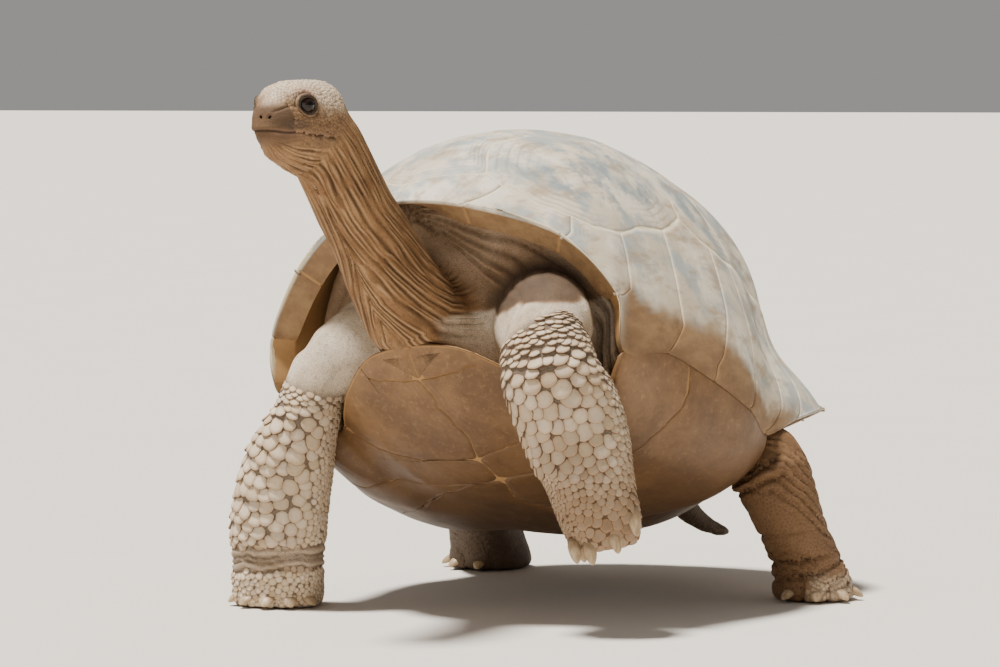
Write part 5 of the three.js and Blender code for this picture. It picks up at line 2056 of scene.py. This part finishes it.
SHEET_MARGIN = 0.02  # bare border of the map


def on_sheet(angle, share):
    """Places of the map: the angle round a part from left to right, the share of its length up."""
    across = angle / (2 * math.pi) + 0.5
    return SHEET_MARGIN + (1 - 2 * SHEET_MARGIN) * np.stack([across, np.clip(share, 0, 1)], -1)


def limb_unwrap(line):
    """The limb's skin cut down its back and laid flat: round it, and along it."""
    total = np.linalg.norm(np.diff(np.array(line, float), axis=0), axis=1).sum()

    def place(points):
        s, off, way = on_line(line, points)
        return on_sheet(angle_round(off, way), s / total)

    return place


def head_unwrap(points):
    """The head's skin cut under the jaw and laid flat."""
    f, l, u = in_head(points).T
    return on_sheet(np.arctan2(l, u + 35), (f + 130) / 200)


LARGE = 12.5  # scales wider than this have more corners
SCALE_HEIGHT = {"head": 0.19, "hindleg_left": 0.08, "hindleg_right": 0.09, "tail": 0.1}
FORELEG_HEIGHT = 0.28  # both as a share of the scale's width


def cover_in_scales(p, web, region, tree):
    """Scatters scales over the legs, the tail and the head and makes their pieces."""
    spacing, squeeze = scale_spacing(p, region)
    faces = web.faces
    points, _ = scatter(p, faces, spacing)
    marks = face_marks(p, region)
    pale = dust_and_painted_light(p, region)
    lie = np.zeros_like(p)
    for name, line in LIMBS.items():
        lie += region[name][:, None] * on_line(line, p)[2]
    lie += region["head"][:, None] * -HEAD_AXES[0]
    lie += 1e-3  # so that no direction is nothing

    def to_face(data):
        return data[faces].mean(1)

    normals = web.normals(p)
    face = {
        "normal": unit(to_face(web.even(normals, 4))),
        "size": np.maximum(to_face(spacing), 3.5),
        "squeeze": to_face(squeeze),
        "lie": unit(to_face(lie)),
        "pale": to_face(pale),
        "grey": to_face(marks["grey"]),
        "rosy": to_face(marks["rosy"]),
    }
    shown = spacing[faces].min(1) > 0
    points, owner = settle(points, tree, face)
    keep = shown[owner]
    points, owner = points[keep], owner[keep]
    part = np.stack([to_face(region[k]) for k in (*LIMBS, "head")], -1)[owner].argmax(1)
    horn = scale_horn()
    face["vary"] = np.exp(0.12 * rng.normal(size=len(points))).clip(0.75, 1.3)
    for index, name in enumerate((*LIMBS, "head")):
        mine = part == index
        unwrap = head_unwrap if name == "head" else limb_unwrap(LIMBS[name])
        large = face["size"][owner] > LARGE
        high = SCALE_HEIGHT.get(name, FORELEG_HEIGHT)
        groups = (("large", mine & large, 14), ("small", mine & ~large, 8 if name == "head" else 10))
        for label, chosen, sides in groups:
            if chosen.any():
                title = f"scales_{name}_{label}"
                build_scales(title, chosen, points, owner, tree, face, sides, high, horn, unwrap)


def build_animal():
    rough = build_skin()
    p, faces, region = split_skin(*rough)
    p, web, marks = sculpt(p, faces, region)
    tree = finish_skin(p, web, region, marks)
    cover_in_scales(p, web, region, tree)
    build_eyes()
    build_claws()


build_animal()

# ---- Camera, floor and light
AIM_AZIMUTH = 33.0  # degrees that the camera stands to the animal's left of straight ahead
AIM_DISTANCE = 6.643  # metres, as is the height
AIM_HEIGHT = 0.821
AIM_PAN = -0.696  # degrees to the right
AIM_TILT = 3.3075  # degrees down
LENS = 146.7  # mm, for a sensor 36 mm wide


def place_camera():
    a, pan, tilt = (math.radians(v) for v in (AIM_AZIMUTH, AIM_PAN, AIM_TILT))
    right = Vector((math.cos(a), math.sin(a), 0))
    ahead = Vector((-math.sin(a), math.cos(a), 0))
    up = Vector((0, 0, 1))
    place = -ahead * AIM_DISTANCE + up * AIM_HEIGHT + Vector(SHIFT * MM)
    r = right * math.cos(pan) - ahead * math.sin(pan)
    f = ahead * math.cos(pan) + right * math.sin(pan)
    f = f * math.cos(tilt) - up * math.sin(tilt)
    u = r.cross(f)
    camera = put("camera", bpy.data.cameras.new("camera"))
    turn = Matrix((r, u, -f)).transposed()
    camera.matrix_world = Matrix.Translation(place) @ turn.to_4x4()
    camera.data.lens = LENS
    camera.data.sensor_width = 36
    camera.data.clip_end = 600
    bpy.context.scene.camera = camera


def lamp(name, place, aim, width, watts, tint):
    """A round lamp at a place, turned to another."""
    light = bpy.data.lights.new(name, "AREA")
    light.shape = "DISK"
    light.size = width
    light.energy = watts
    light.color = tint
    o = put(name, light)
    o.location = place
    o.rotation_euler = (Vector(aim) - Vector(place)).to_track_quat("-Z", "Y").to_euler()


SUN_PLACE = Vector((-0.2, -0.21, 1.0))  # where the light from above comes from
SUN_STRENGTH = 8.0
SUN_WIDTH = math.radians(9)  # how soft its shadows are
AIR_STRENGTH = 0.38
FILL_WATTS = 22
FLOOR_REACH = 200.0  # metres from the middle to each side


def light_studio():
    """Even pale air, a broad soft light from above and ahead, and a weak fill from the front."""
    world = bpy.data.worlds.new("studio_air")
    world.use_nodes = True
    world.node_tree.nodes["Background"].inputs[0].default_value = colour("#e9e7e4")
    world.node_tree.nodes["Background"].inputs[1].default_value = AIR_STRENGTH
    bpy.context.scene.world = world
    sky = bpy.data.lights.new("overhead", "SUN")
    sky.energy = SUN_STRENGTH
    sky.angle = SUN_WIDTH
    sky.color = (1.0, 0.975, 0.94)
    overhead = put("overhead", sky)
    overhead.rotation_euler = SUN_PLACE.to_track_quat("Z", "Y").to_euler()
    lamp("fill", (0.6, -4.2, 1.6), (0, 0, 0.4), 2.4, FILL_WATTS, (1.0, 0.98, 0.96))


def lay_floor():
    mesh = bpy.data.meshes.new("floor")
    corners = [(x * FLOOR_REACH, y * FLOOR_REACH, 0) for x, y in ((-1, -1), (1, -1), (1, 1), (-1, 1))]
    mesh.from_pydata(corners, [], [(0, 1, 2, 3)])
    f = Finish("painted_floor", 0.85, 0.1)
    f.link("Base Color", f.add(MIX, f.add(NOISE, f.place, 1000 / 400, 2, 0.55), "#d9d2c7", "#ddd7cd"))
    mesh.materials.append(f.material)
    put("floor", mesh)


place_camera()
light_studio()
lay_floor()
